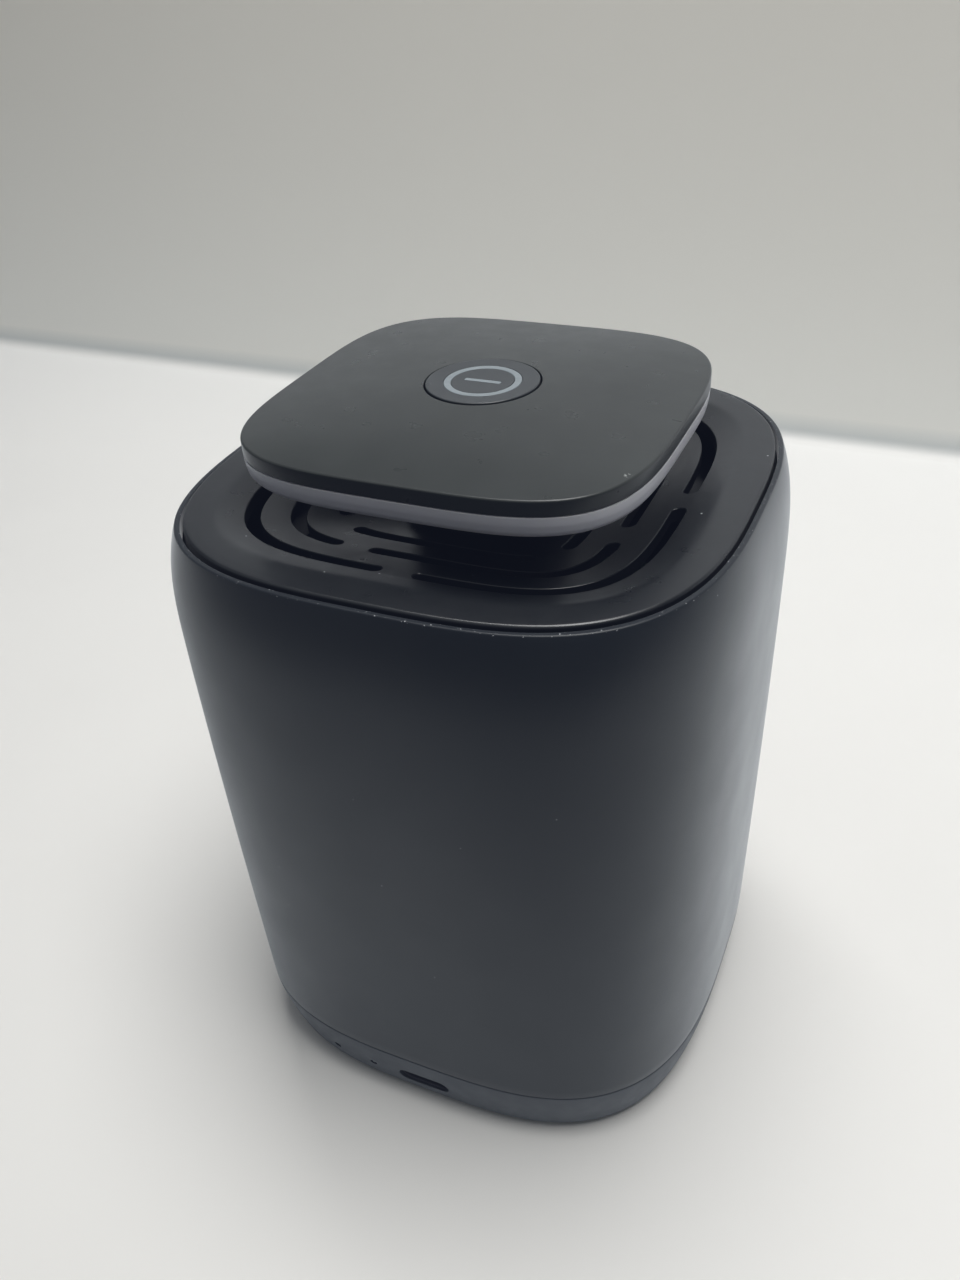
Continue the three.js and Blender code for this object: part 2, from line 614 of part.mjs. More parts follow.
function chassis() {
  const deck = ([bottom, top]) => cut(
    squirclePrism(DECK_HALF, BODY_POWER, bottom, top),
    squirclePrism(DECK_HOLE_HALF, BODY_POWER, bottom - PAST, top + PAST),
  );
  const into = 1; // how far the posts, rails and lugs run into what they join
  const posts = CORNERS.map(([sx, sy]) => {
    return rod(POST.radius, POST.bottom, UPPER_DECK[0] + into, sx * FOOT.place, sy * FOOT.place);
  });
  const rails = SIDES.map((side) => {
    const [near, far] = [side * RAIL.inner, side * RAIL.outer].sort((a, b) => a - b);
    return block([near, RAIL.front, LOWER_DECK[1] - into], [far, RAIL.rear, UPPER_DECK[0] + into]);
  });
  const lugFront = BOARD.rear + RAIL.groove;
  const lugRear = BOARD.rear + LUG.depth;
  const groove = block(
    [-BOARD.half - CLEAR, BOARD.front - RAIL.groove, BOARD.shoulder - CLEAR],
    [BOARD.half + CLEAR, lugFront, BOARD.top + CLEAR],
  );
  const lugs = SIDES.map((side) => {
    const [near, far] = [side * LUG.inner, side * (RAIL.inner + into)].sort((a, b) => a - b);
    return block([near, lugFront, LUG.bottom], [far, lugRear, LUG.top]);
  });
  const pilots = [
    ...CORNERS.map(([sx, sy]) => rod(SCREW.hole, 0, POST.pilotTop, sx * FOOT.place, sy * FOOT.place)),
    ...SIDES.map((side) => pin(SCREW.hole, BOARD.front, lugRear + PAST, side * LUG.screwX, LUG.screwZ)),
    ...SIDES.map((side) => {
      return rod(SCREW.hole, UPPER_DECK[0] - PAST, UPPER_DECK[1] + PAST, 0, side * TOP_SCREW_PLACE);
    }),
  ];
  const frame = joined(deck(LOWER_DECK), deck(UPPER_DECK), ...posts, ...rails);
  return cut(joined(cut(frame, groove), ...lugs), ...pilots);
}

function mainBoard() {
  const { half, front, rear, top, shoulder, bottom, tongue } = BOARD;
  const outline = [
    [-tongue, bottom],
    [tongue, bottom],
    [tongue, shoulder],
    [half, shoulder],
    [half, top],
    [-half, top],
    [-half, shoulder],
    [-tongue, shoulder],
  ];
  const screwHoles = [
    ...SIDES.map((side) => pin(SCREW.hole, front - PAST, rear + PAST, side * LUG.screwX, LUG.screwZ)),
    ...SINK_SCREWS.map(([x, z]) => pin(SCREW.hole, front - PAST, rear + PAST, x, z)),
  ];
  return cut(upright(outline, front, rear), ...screwHoles);
}

function heatSink() {
  const { half, bottom, top, base, depth, fins, fin, boss } = SINK;
  const plate = block([-half, -base, bottom], [half, 0, top]);
  const pitch = (2 * half - fin) / (fins - 1);
  const blades = [];
  for (let i = 0; i < fins; i++) {
    const left = -half + i * pitch;
    blades.push(block([left, -depth, bottom], [left + fin, 0, top]));
  }
  const bosses = SINK_SCREWS.map(([x, z]) => pin(boss, -base / 2, BOARD.front - TOUCH, x, z));
  const pilots = SINK_SCREWS.map(([x, z]) => pin(SCREW.hole, 0.4 - base, BOARD.front + PAST, x, z));
  return cut(joined(plate, ...blades, ...bosses), ...pilots);
}

function thermalPad() {
  const { half, bottom, top, front, padMargin } = PROCESSOR;
  const padHalf = half - padMargin;
  return block([-padHalf, TOUCH, bottom + padMargin], [padHalf, front - TOUCH, top - padMargin]);
}

function processorShield() {
  const { half, bottom, top, front } = PROCESSOR;
  return block([-half, front, bottom], [half, BOARD.front - TOUCH, top]);
}

function radioShield(side) {
  const { near, far, bottom, top, rear } = RADIO;
  const [left, right] = [side * near, side * far].sort((a, b) => a - b);
  return block([left, BOARD.rear + TOUCH, bottom], [right, rear, top]);
}

// A stamped antenna with a foot, standing on the upper deck at the front; the second is turned to the rear.
function antenna() {
  const { left, right, front, thick, sole, height } = ANTENNA;
  const bottom = UPPER_DECK[1] + TOUCH;
  const plate = block([left, front, bottom], [right, front + thick, bottom + height]);
  const flange = block([left, front, bottom], [right, front + sole, bottom + thick]);
  return joined(plate, flange);
}

// A lead from an antenna's foot over the top of the main board to its rear face.
function antennaLead(route) {
  const sides = 8;
  const section = [];
  for (let i = 0; i < sides; i++) {
    const angle = (2 * Math.PI * i) / sides;
    section.push(new THREE.Vector2(LEAD_RADIUS * Math.cos(angle), LEAD_RADIUS * Math.sin(angle)));
  }
  const path = new THREE.CatmullRomCurve3(route.map((point) => new THREE.Vector3(...point)));
  return new THREE.ExtrudeGeometry(new THREE.Shape(section), { steps: 16, extrudePath: path });
}

function boardSocket() {
  const { half, front, rear, top, slotBottom } = SOCKET;
  const body = block([-half, front, PORT_BOARD_TOP + TOUCH], [half, rear, top]);
  const slot = block(
    [-BOARD.tongue - CLEAR, BOARD.front - RAIL.groove, slotBottom],
    [BOARD.tongue + CLEAR, BOARD.rear + RAIL.groove, top + PAST],
  );
  return cut(body, slot);
}

// ---------------------------------------------------------------- the port board

function portBoard() {
  const { half, noseHalf, nose, front, rear } = PORT_BOARD;
  const left = [[-half, rear], [-half, front], [-noseHalf, nose]];
  const outline = [...left, ...left.map(([x, y]) => [-x, y]).reverse()];
  return slab(outline, PLATE_TOP + TOUCH, PORT_BOARD_TOP);
}

function usbShell() {
  const { width, height, mouth, back, shell, backWall } = PORT;
  const lift = PORT_Z + TOUCH;
  const outside = upright(stadium(width, height, 0, lift), mouth, back);
  const bore = stadium(width - 2 * shell, height - 2 * shell, 0, lift);
  return cut(outside, upright(bore, mouth - PAST, back - backWall));
}

function usbTongue() {
  const { half, mouth, below, above } = TONGUE;
  return block([-half, mouth, PORT_Z - below], [half, PORT.back - PORT.backWall - TOUCH, PORT_Z + above]);
}

function resetSwitchBody() {
  const { half, top, front, rear, hole, bore } = RESET_SWITCH;
  const body = block([RESET_X - half, front, PORT_BOARD_TOP + TOUCH], [RESET_X + half, rear, top]);
  return cut(body, pin(hole, front - PAST, front + bore, RESET_X, HOLE_Z));
}

function resetPlunger() {
  const { front, bore } = RESET_SWITCH;
  const { radius, standOut } = RESET_PLUNGER;
  return pin(radius, front - standOut, front + bore - RESET_TRAVEL - 2 * TOUCH, RESET_X, HOLE_Z);
}

function statusLed() {
  const { half, front, rear, top } = STATUS_LED;
  return block([LED_X - half, front, PORT_BOARD_TOP + TOUCH], [LED_X + half, rear, top]);
}

function lightPipe() {
  const tip = pin(PIPE.tip, PIPE.tipFront, PIPE.stemRear - 1, LED_X, HOLE_Z);
  const stem = pin(PIPE.stem, PIPE.stemFront, PIPE.stemRear, LED_X, HOLE_Z);
  const heel = block(
    [LED_X - PIPE.heel, PIPE_HEEL.front, PORT_BOARD_TOP + TOUCH],
    [LED_X + PIPE.heel, PIPE_HEEL.rear, HOLE_Z],
  );
  return joined(tip, stem, heel);
}

// ---------------------------------------------------------------- materials and assembly

const FINISHES = {
  sleeve: { color: 0x23262f, roughness: 0.42, metalness: 0.7 },
  base: { color: 0x2b2e34, roughness: 0.5, metalness: 0.3 },
  charcoal: { color: 0x2f3130, roughness: 0.55, metalness: 0.0 },
  black: { color: 0x17181b, roughness: 0.6, metalness: 0.0 },
  rubber: { color: 0x1a1a1a, roughness: 0.85, metalness: 0.0 },
  diffuser: { color: 0x8c8b98, roughness: 0.45, metalness: 0.0 },
  symbol: { color: 0x9fb2c2, roughness: 0.4, metalness: 0.0 },
  board: { color: 0x14402b, roughness: 0.5, metalness: 0.0 },
  nylon: { color: 0x3a3c40, roughness: 0.6, metalness: 0.0 },
  tin: { color: 0xb9bbbd, roughness: 0.35, metalness: 1.0 },
  aluminium: { color: 0xa8aaad, roughness: 0.4, metalness: 1.0 },
  steel: { color: 0x8f9194, roughness: 0.3, metalness: 1.0 },
  brass: { color: 0xb89a54, roughness: 0.35, metalness: 1.0 },
  pad: { color: 0x7f8fa0, roughness: 0.8, metalness: 0.0 },
  ribbon: { color: 0xc9a24a, roughness: 0.5, metalness: 0.0 },
  clear: { color: 0xdde4e8, roughness: 0.15, metalness: 0.0 },
  led: { color: 0xf0ead2, roughness: 0.3, metalness: 0.0 },
};

const UPSIDE_DOWN = [Math.PI, 0, 0];
const model = new THREE.Group();

function place(name, finish, geometry, position = [0, 0, 0], rotation = [0, 0, 0], parent = model) {
  const mesh = new THREE.Mesh(geometry, new THREE.MeshStandardMaterial(FINISHES[finish]));
  mesh.name = name;
  mesh.position.set(...position);
  mesh.rotation.set(...rotation);
  parent.add(mesh);
}

place("base_ring", "base", baseRing());
place("bottom_plate", "black", bottomPlate());
place("outer_sleeve", "sleeve", outerSleeve());
place("top_grille", "charcoal", topGrille());
CORNERS.forEach(([sx, sy], index) => {
  const spot = [sx * FOOT.place, sy * FOOT.place];
  const headUnder = FLOOR_Z + FOOT.recess + SCREW.headHeight + TOUCH;
  const corner = CORNER_NAMES[index];
  place(`foot_${corner}`, "rubber", foot(), [...spot, 0]);
  place(`base_screw_${corner}`, "steel", screw(SCREW_LENGTH.base), [...spot, headUnder], UPSIDE_DOWN);
});

const cap = new THREE.Group();
model.add(cap);
place("pedestal", "black", pedestal(), undefined, undefined, cap);
place("cap_tray", "black", capTray(), undefined, undefined, cap);
place("light_ring", "diffuser", lightRing(), undefined, undefined, cap);
place("cap_shell", "charcoal", capShell(), undefined, undefined, cap);
place("power_button", "charcoal", powerButton(), undefined, undefined, cap);
place("power_symbol_ring", "symbol", symbolRing(), undefined, undefined, cap);
place("power_symbol_bar", "symbol", symbolBar(0, buttonZ(0)), undefined, undefined, cap);
place("cap_board", "board", capBoard(), undefined, undefined, cap);
place("power_switch_body", "black", powerSwitchBody(), undefined, undefined, cap);
const plunger = rod(SWITCH.plunger, PLUNGER_BOTTOM, PLUNGER_TOP, 0, 0, ROUND);
place("power_switch_plunger", "nylon", plunger, undefined, undefined, cap);
place("cap_ribbon", "ribbon", capRibbon(), undefined, undefined, cap);
QUARTERS.forEach((quarter, index) => {
  const { left, right, front, rear, top } = RING_LED;
  const led = block([left, front, CAP_BOARD.top + TOUCH], [right, rear, top]);
  place(`ring_led_${index + 1}`, "led", led, undefined, [0, 0, quarter], cap);
});
pedestalScrewPlaces(Math.PI / 2).forEach(([x, y], index) => {
  const spot = [x, y, CAP_BOARD.bottom];
  place(`tray_screw_${index + 1}`, "steel", screw(SCREW_LENGTH.tray), spot, undefined, cap);
});
pedestalScrewPlaces(0).forEach(([x, y], index) => {
  const spot = [x, y, dishZ(DISH_FLOOR_RADIUS) - GRILLE_THICK - TOUCH];
  place(`pedestal_screw_${index + 1}`, "steel", screw(SCREW_LENGTH.pedestal), spot, UPSIDE_DOWN, cap);
});

place("chassis", "nylon", chassis());
place("main_board", "board", mainBoard());
place("heat_sink", "aluminium", heatSink());
place("thermal_pad", "pad", thermalPad());
place("processor_shield", "tin", processorShield());
place("radio_shield_1", "tin", radioShield(-1));
place("radio_shield_2", "tin", radioShield(1));
place("board_socket", "black", boardSocket());
place("antenna_front", "brass", antenna());
place("antenna_rear", "brass", antenna(), undefined, [0, 0, Math.PI]);
const leadZ = UPPER_DECK[1] + LEAD_RADIUS + 1;
const leadEnd = [BOARD.rear + 1.5 * LEAD_RADIUS, 83];
place("antenna_lead_front", "black", antennaLead([
  [14, -26.8, leadZ],
  [13, -14, leadZ + 0.2],
  [12.5, 2, leadZ - 0.2],
  [12, 8.2, leadZ - 3],
  [12, ...leadEnd],
]));
place("antenna_lead_rear", "black", antennaLead([
  [-14, 26.8, leadZ],
  [-13, 18, leadZ],
  [-12, 10.5, leadZ - 3],
  [-12, ...leadEnd],
]));
SIDES.forEach((side, index) => {
  const front = [side * LUG.screwX, BOARD.front - TOUCH, LUG.screwZ];
  place(`board_screw_${index + 1}`, "steel", screw(SCREW_LENGTH.board), front, [Math.PI / 2, 0, 0]);
  const deckUnder = [0, side * TOP_SCREW_PLACE, UPPER_DECK[0] - TOUCH];
  place(`top_screw_${index + 1}`, "steel", screw(SCREW_LENGTH.top), deckUnder, UPSIDE_DOWN);
});
SINK_SCREWS.forEach(([x, z], index) => {
  const rear = [x, BOARD.rear + TOUCH, z];
  place(`heat_sink_screw_${index + 1}`, "steel", screw(SCREW_LENGTH.sink), rear, [-Math.PI / 2, 0, 0]);
});

place("port_board", "board", portBoard());
place("usb_shell", "steel", usbShell());
place("usb_tongue", "black", usbTongue());
place("reset_switch_body", "black", resetSwitchBody());
place("reset_plunger", "nylon", resetPlunger());
place("status_led", "led", statusLed());
place("light_pipe", "clear", lightPipe());

export default model;
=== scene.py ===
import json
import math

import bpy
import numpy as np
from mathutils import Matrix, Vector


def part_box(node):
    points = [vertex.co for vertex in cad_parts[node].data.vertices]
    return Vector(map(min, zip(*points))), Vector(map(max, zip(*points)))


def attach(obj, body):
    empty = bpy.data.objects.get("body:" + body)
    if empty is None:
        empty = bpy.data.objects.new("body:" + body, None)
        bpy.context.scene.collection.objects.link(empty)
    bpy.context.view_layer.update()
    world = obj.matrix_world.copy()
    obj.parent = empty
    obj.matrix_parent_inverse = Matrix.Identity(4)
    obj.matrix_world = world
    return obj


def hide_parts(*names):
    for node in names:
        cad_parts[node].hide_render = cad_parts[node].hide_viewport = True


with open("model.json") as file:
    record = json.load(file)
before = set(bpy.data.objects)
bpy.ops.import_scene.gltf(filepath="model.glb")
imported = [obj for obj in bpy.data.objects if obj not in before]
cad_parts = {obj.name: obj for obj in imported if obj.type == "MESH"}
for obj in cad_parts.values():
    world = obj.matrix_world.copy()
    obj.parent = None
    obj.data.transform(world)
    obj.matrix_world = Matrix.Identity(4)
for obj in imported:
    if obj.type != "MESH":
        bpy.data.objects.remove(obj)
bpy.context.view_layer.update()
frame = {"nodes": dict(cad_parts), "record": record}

# The looks of a mesh wifi node: a squircle tower of dark anodised metal with a sunken slotted top, and a
# cap that floats over it on a pedestal with a diffuser ring round its edge.
# Metres, +Z up, the inlet towards -Y.
# The shells that can be seen are made here again with fine, rounded surfaces, in the places of their nodes.
# The pieces inside keep their CAD shapes and get bevels and materials.

MM = 0.001
TAU = math.tau

# ---------------------------------------------------------------- sizes, from the frame where it has them

FACETS = 288  # round the shells
ROUND = 96  # round small turned pieces
BODY_POWER = 3.1  # of the body's outline |x|^p + |y|^p = half^p
CAP_POWER = 3.8

CORNERS = ["front_left", "front_right", "rear_right", "rear_left"]

FLOOR_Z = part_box("base_ring")[0].z
SEAM_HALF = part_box("base_ring")[1].x
SEAM_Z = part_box("outer_sleeve")[0].z
SEAM_GAP = 0.09 * MM
RIM_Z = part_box("outer_sleeve")[1].z
WIDEST_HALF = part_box("outer_sleeve")[1].x
WIDEST_Z = 83.0 * MM
RIM_HALF = 40.3 * MM
BASE_TUCK = 2.5 * MM  # how far the base draws in from the seam to the ground
SLEEVE_WALL = 1.6 * MM
SLEEVE_SEAT_HALF = 40.2 * MM  # the grille's shoulder sits in it
SLEEVE_SEAT_Z = (96.9 * MM, 98.65 * MM)
BASE_INNER_HALF = 37.4 * MM
BASE_LEDGE_HALF = 30.0 * MM
BASE_LEDGE_Z = (3.0 * MM, 4.4 * MM)
BASE_REBATE_Z = 14.5 * MM
PLATE_HOLE_HALF = 35.3 * MM  # the bottom plate's place in the base ring
PINHOLE_Z = 5.5 * MM
PINHOLE_WIDTH = 1.3 * MM

GRILLE_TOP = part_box("top_grille")[1].z
GRILLE_EDGE_HALF = 39.2 * MM
GRILLE_THICK = 2.0 * MM
DISH_HALF = 34.2 * MM
DISH_TOP = 100.95 * MM
DISH_SLOPE = 0.22
RIM_FLAT_HALF = 37.4 * MM
RIM_SLOPE = 0.015
RIM_STEP = GRILLE_TOP - RIM_SLOPE * (RIM_FLAT_HALF - DISH_HALF) - DISH_TOP
RIM_STEP_WIDTH = 3.5 * MM
RIM_BEND = 0.7 * MM
DISH_FLOOR = 12.8 * MM
DISH_OUT_HALF = 38.3 * MM  # where the rim's flat is let go to round its edge
SKIRT_HALF = (36.8 * MM, 38.4 * MM)
SKIRT_BOTTOM_Z = 92.5 * MM
SHOULDER_HALF = 39.85 * MM
SHOULDER_Z = (97.2 * MM, 98.3 * MM)
WIRE_BORE = 6.5 * MM  # through the grille, the pedestal and the tray
SLOT_WIDTH = 2.1 * MM
BRIDGE = 4.4 * MM
SWIRL = math.radians(22)
SLOT_RINGS = [(30.5 * MM, 3.9), (24.5 * MM, 4.6), (18.7 * MM, 5.2)]
VENT_RINGS = [(27.5 * MM, 3.6), (21.5 * MM, 4.0)]

CAP_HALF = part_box("cap_shell")[1].x
CAP_UNDER_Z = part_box("light_ring")[0].z
LIGHT_TOP_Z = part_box("light_ring")[1].z
CREASE_Z = 112.12 * MM
CAP_TOP_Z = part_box("power_button")[1].z
CAP_WALL = 1.6 * MM
CHIP = (26.9 * MM, -18.4 * MM, 112.2 * MM)  # in the cap's crease
BUTTON_RADIUS = 8.05 * MM
BUTTON_GAP = 0.27 * MM
BUTTON_EDGE_Z = CAP_TOP_Z - 0.01 * MM
BUTTON_BOTTOM_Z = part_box("power_button")[0].z
BUTTON_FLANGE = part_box("power_button")[1].x
BUTTON_DISH = 0.12 * MM  # how far the button's middle lies below its edge
SYMBOL_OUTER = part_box("power_symbol_ring")[1].x
SYMBOL_INNER = SYMBOL_OUTER - 1.0 * MM
SYMBOL_FLOOR_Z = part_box("power_symbol_ring")[0].z
SYMBOL_RISE = 0.02 * MM  # over the button's top
BAR_HALF = (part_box("power_symbol_bar")[1].x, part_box("power_symbol_bar")[1].y)


# ---------------------------------------------------------------- outlines

def base_half(z):
    return SEAM_HALF - BASE_TUCK * (max(0.0, SEAM_Z - z) / SEAM_Z) ** 1.5


def sleeve_half(z):
    if z < WIDEST_Z:
        return WIDEST_HALF - (WIDEST_HALF - SEAM_HALF) * ((WIDEST_Z - z) / (WIDEST_Z - SEAM_Z)) ** 1.5
    return WIDEST_HALF - (WIDEST_HALF - RIM_HALF) * ((z - WIDEST_Z) / (RIM_Z - WIDEST_Z)) ** 3.4


def dish_z(half):
    """The top: a nearly flat rim that bends softly into the sunken dish."""
    inwards = DISH_HALF - half
    eased = (inwards + math.hypot(inwards, RIM_BEND)) / 2
    rim = GRILLE_TOP - RIM_SLOPE * max(0.0, RIM_FLAT_HALF - half)
    return rim - eased * (DISH_SLOPE - RIM_SLOPE) - RIM_STEP * min(1.0, eased / RIM_STEP_WIDTH)


def dome_z(half):
    return CAP_TOP_Z - (CAP_TOP_Z - CREASE_Z) * (half / CAP_HALF) ** 2


def reach(angles, power):
    """How far a squircle of unit half-width reaches at each polar angle."""
    return (np.abs(np.cos(angles)) ** power + np.abs(np.sin(angles)) ** power) ** (-1 / power)


def rounded(profile, radii, steps=5):
    """The profile of (half, z, power) points with an arc of radius radii[i] at each point i it names."""
    points = []
    count = len(profile)
    for i, (half, z, power) in enumerate(profile):
        if i not in radii:
            points.append((half, z, power))
            continue
        corner = Vector((half, z))
        before = (Vector(profile[i - 1][:2]) - corner).normalized()
        after = (Vector(profile[(i + 1) % count][:2]) - corner).normalized()
        turn = before.angle(after) / 2
        away = radii[i] / math.tan(turn)
        middle = corner + (before + after).normalized() * (radii[i] / math.sin(turn))
        start = corner + before * away - middle
        sweep = start.angle_signed(corner + after * away - middle)
        for k in range(steps + 1):
            spoke = Matrix.Rotation(-sweep * k / steps, 2) @ start
            points.append((middle.x + spoke.x, middle.y + spoke.y, power))
    return points


# ---------------------------------------------------------------- mesh tools

def mesh_object(name, verts, faces, crease=35):
    mesh = bpy.data.meshes.new(name)
    mesh.from_pydata([tuple(map(float, v)) for v in verts], [], faces)
    mesh.validate()
    mesh.shade_smooth()
    mesh.set_sharp_from_angle(angle=math.radians(crease))
    piece = bpy.data.objects.new(name, mesh)
    bpy.context.scene.collection.objects.link(piece)
    return piece


def lofted(name, profile, facets=FACETS, crease=35):
    """A closed surface through squircle rings (half-width, z, power), anticlockwise with the outside
    going up. It closes on itself, or at each end that has no width."""
    angles = np.arange(facets) * TAU / facets
    verts = []
    rings = []
    for half, z, power in profile:
        if half == 0:
            rings.append([len(verts)] * facets)
            verts.append((0.0, 0.0, z))
            continue
        away = half * reach(angles, power)
        rings.append(range(len(verts), len(verts) + facets))
        verts += zip(away * np.cos(angles), away * np.sin(angles), [z] * facets)
    pairs = list(zip(rings, rings[1:]))
    if profile[0][0] > 0:
        pairs.append((rings[-1], rings[0]))
    faces = []
    for low, high in pairs:
        for i in range(facets):
            j = (i + 1) % facets
            face = list(dict.fromkeys((low[i], low[j], high[j], high[i])))
            faces.append(face)
    return mesh_object(name, verts, faces, crease)


def tower(name, rings, crease=35):
    """A closed solid through stacked outlines of equal length, each a list of points, with flat ends."""
    count = len(rings[0])
    verts = [point for ring in rings for point in ring]
    faces = [list(range(count))[::-1], list(range((len(rings) - 1) * count, len(rings) * count))]
    for level in range(len(rings) - 1):
        for i in range(count):
            j = (i + 1) % count
            low = level * count
            faces.append([low + i, low + j, low + count + j, low + count + i])
    return mesh_object(name, verts, faces, crease)


def joined(pieces):
    with bpy.context.temp_override(active_object=pieces[0], selected_editable_objects=pieces):
        bpy.ops.object.join()
    return pieces[0]


def cut(piece, *cutters, crease=35):
    """Takes the cutters out of the piece and removes them."""
    for cutter in cutters:
        modifier = piece.modifiers.new("cut", "BOOLEAN")
        modifier.operation = "DIFFERENCE"
        modifier.solver = "EXACT"
        modifier.object = cutter
    result = bpy.data.meshes.new_from_object(piece.evaluated_get(bpy.context.evaluated_depsgraph_get()))
    piece.modifiers.clear()
    piece.data = result
    for cutter in cutters:
        bpy.data.objects.remove(cutter)
    result.shade_smooth()
    result.set_sharp_from_angle(angle=math.radians(crease))
    return piece


def flare(lip):
    """The steps (how far out, how far down) of a mouth's rounded lip, from the bore to the surface."""
    bends = [math.radians(step) for step in (20, 40, 60)]
    return [(lip * (1 - math.cos(bend)), lip * (1 - math.sin(bend))) for bend in bends]


# ---------------------------------------------------------------- slots

def channel_spot(ring, angle):
    """The middle of a channel along a squircle (outer half-width, power), at a polar angle."""
    outer, power = ring
    away = (outer - SLOT_WIDTH / 2) * float(reach(np.array([angle]), power)[0])
    return Vector((away * math.cos(angle), away * math.sin(angle)))


def slot_outline(ring, start, end, half_width, steps=44, end_steps=10):
    """A round-ended channel along a squircle, as an anticlockwise outline of that half-width."""
    points = []
    nearby = 0.001

    def spot(angle):
        return channel_spot(ring, angle)

    def side(angle):
        tangent = (spot(angle + nearby) - spot(angle - nearby)).normalized()
        return Vector((tangent.y, -tangent.x))

    def round_end(angle, way):
        for k in range(1, end_steps):
            spoke = side(angle) * way * half_width
            points.append(spot(angle) + Matrix.Rotation(math.pi * k / end_steps, 2) @ spoke)

    for k in range(steps + 1):
        angle = start + (end - start) * k / steps
        points.append(spot(angle) + side(angle) * half_width)
    round_end(end, 1)
    for k in range(steps, -1, -1):
        angle = start + (end - start) * k / steps
        points.append(spot(angle) - side(angle) * half_width)
    round_end(start, -1)
    return points


def slot_ends(ring, turn, quarter):
    """The angles between which a slot runs, clear of the bridges on both sides."""
    step = 0.002

    def clear_of(bridge, way):
        start = channel_spot(ring, bridge)
        angle = bridge
        while (channel_spot(ring, angle) - start).length < (BRIDGE + SLOT_WIDTH) / 2:
            angle += way * step
        return angle

    return clear_of(quarter * TAU / 4 - turn, 1), clear_of((quarter + 1) * TAU / 4 - turn, -1)


def slot_cutters(rings, surface_z, depth, lip):
    """One mesh of every slot, with its mouth flared by a lip of that radius where it meets the surface."""
    levels = [(0.0, -depth), (0.0, -lip), *((out, -down) for out, down in flare(lip))]
    levels.append((levels[-1][0], lip))
    cutters = []
    for index, ring in enumerate(rings):
        for quarter in range(4):
            start, end = slot_ends(ring, index * SWIRL, quarter)
            stack = []
            for out, height in levels:
                outline = slot_outline(ring, start, end, SLOT_WIDTH / 2 + out)
                stack.append([(p.x, p.y, surface_z(p.x, p.y) + height) for p in outline])
            cutters.append(tower("slot", stack))
    return joined(cutters)


# ---------------------------------------------------------------- the shell

def outer_sleeve():
    lip_half = GRILLE_EDGE_HALF + 0.4 * MM
    steps = 64  # closer together towards the rim
    height = RIM_Z - 0.9 * MM - SEAM_Z
    heights = [SEAM_Z + height * (1 - (1 - k / steps) ** 1.4) for k in range(steps + 1)]
    outside = [(sleeve_half(z), z, BODY_POWER) for z in heights]
    inside_z = [94 * MM, WIDEST_Z, 60 * MM, 35 * MM, SEAM_Z]
    inside = [(sleeve_half(z) - SLEEVE_WALL, z, BODY_POWER) for z in inside_z]
    seat_low, seat_high = SLEEVE_SEAT_Z
    profile = [
        *outside,
        (RIM_HALF, RIM_Z, BODY_POWER),
        (lip_half, RIM_Z, BODY_POWER),
        (lip_half, seat_high, BODY_POWER),
        (SLEEVE_SEAT_HALF, seat_high, BODY_POWER),
        (SLEEVE_SEAT_HALF, seat_low, BODY_POWER),
        *inside,
    ]
    rim = len(outside)
    radii = {0: 0.2 * MM, rim: 0.3 * MM, rim + 1: 0.1 * MM}
    return lofted("outer_sleeve_shell", rounded(profile, radii))


def base_ring():
    lip_half = SEAM_HALF - SLEEVE_WALL - 0.4 * MM
    top = SEAM_Z - SEAM_GAP
    low = FLOOR_Z + 0.4 * MM
    steps = 16
    heights = [low + (top - low) * k / steps for k in range(1, steps + 1)]
    outside = [(base_half(z), z, BODY_POWER) for z in heights]
    ledge_low, ledge_top = BASE_LEDGE_Z
    profile = [
        (PLATE_HOLE_HALF, FLOOR_Z, BODY_POWER),
        (base_half(FLOOR_Z) - 0.2 * MM, FLOOR_Z, BODY_POWER),
        *outside,
        (lip_half, top, BODY_POWER),
        (lip_half, BASE_REBATE_Z, BODY_POWER),
        (BASE_INNER_HALF, BASE_REBATE_Z, BODY_POWER),
        (BASE_INNER_HALF, ledge_top, BODY_POWER),
        (BASE_LEDGE_HALF, ledge_top, BODY_POWER),
        (BASE_LEDGE_HALF, ledge_low, BODY_POWER),
        (PLATE_HOLE_HALF, ledge_low, BODY_POWER),
    ]
    shoulder = 1 + len(outside)
    ring = lofted("base_ring_shell", rounded(profile, {1: 0.8 * MM, shoulder: 0.2 * MM}))
    port_low, port_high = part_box("usb_shell")
    port = ((port_low.x + port_high.x) / 2, (port_low.z + port_high.z) / 2)
    mouth = -base_half(port[1])
    slope = (base_half(port[1] + MM) - base_half(port[1] - MM)) / (2 * MM)
    lip = 0.12 * MM
    width, height = port_high.x - port_low.x + 0.2 * MM, port_high.z - port_low.z + 0.1 * MM
    cutters = [mouth_cutter(width, height, port, mouth, slope, lip)]
    for name in ("light_pipe", "reset_plunger"):
        low_corner, high_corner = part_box(name)
        centre = ((low_corner.x + high_corner.x) / 2, PINHOLE_Z)
        cutters.append(mouth_cutter(PINHOLE_WIDTH, PINHOLE_WIDTH, centre, mouth, slope, lip))
    return cut(ring, joined(cutters))


def stadium(width, height, centre, y, steps=16):
    """A round-ended outline in X and Z, anticlockwise from the front."""
    radius = height / 2
    straight = width / 2 - radius
    points = []
    for way in (1, -1):
        for k in range(steps + 1):
            angle = math.pi * (k / steps - 0.5)
            x = centre[0] + way * (straight + radius * math.cos(angle))
            points.append((x, y, centre[1] + way * radius * math.sin(angle)))
    return points


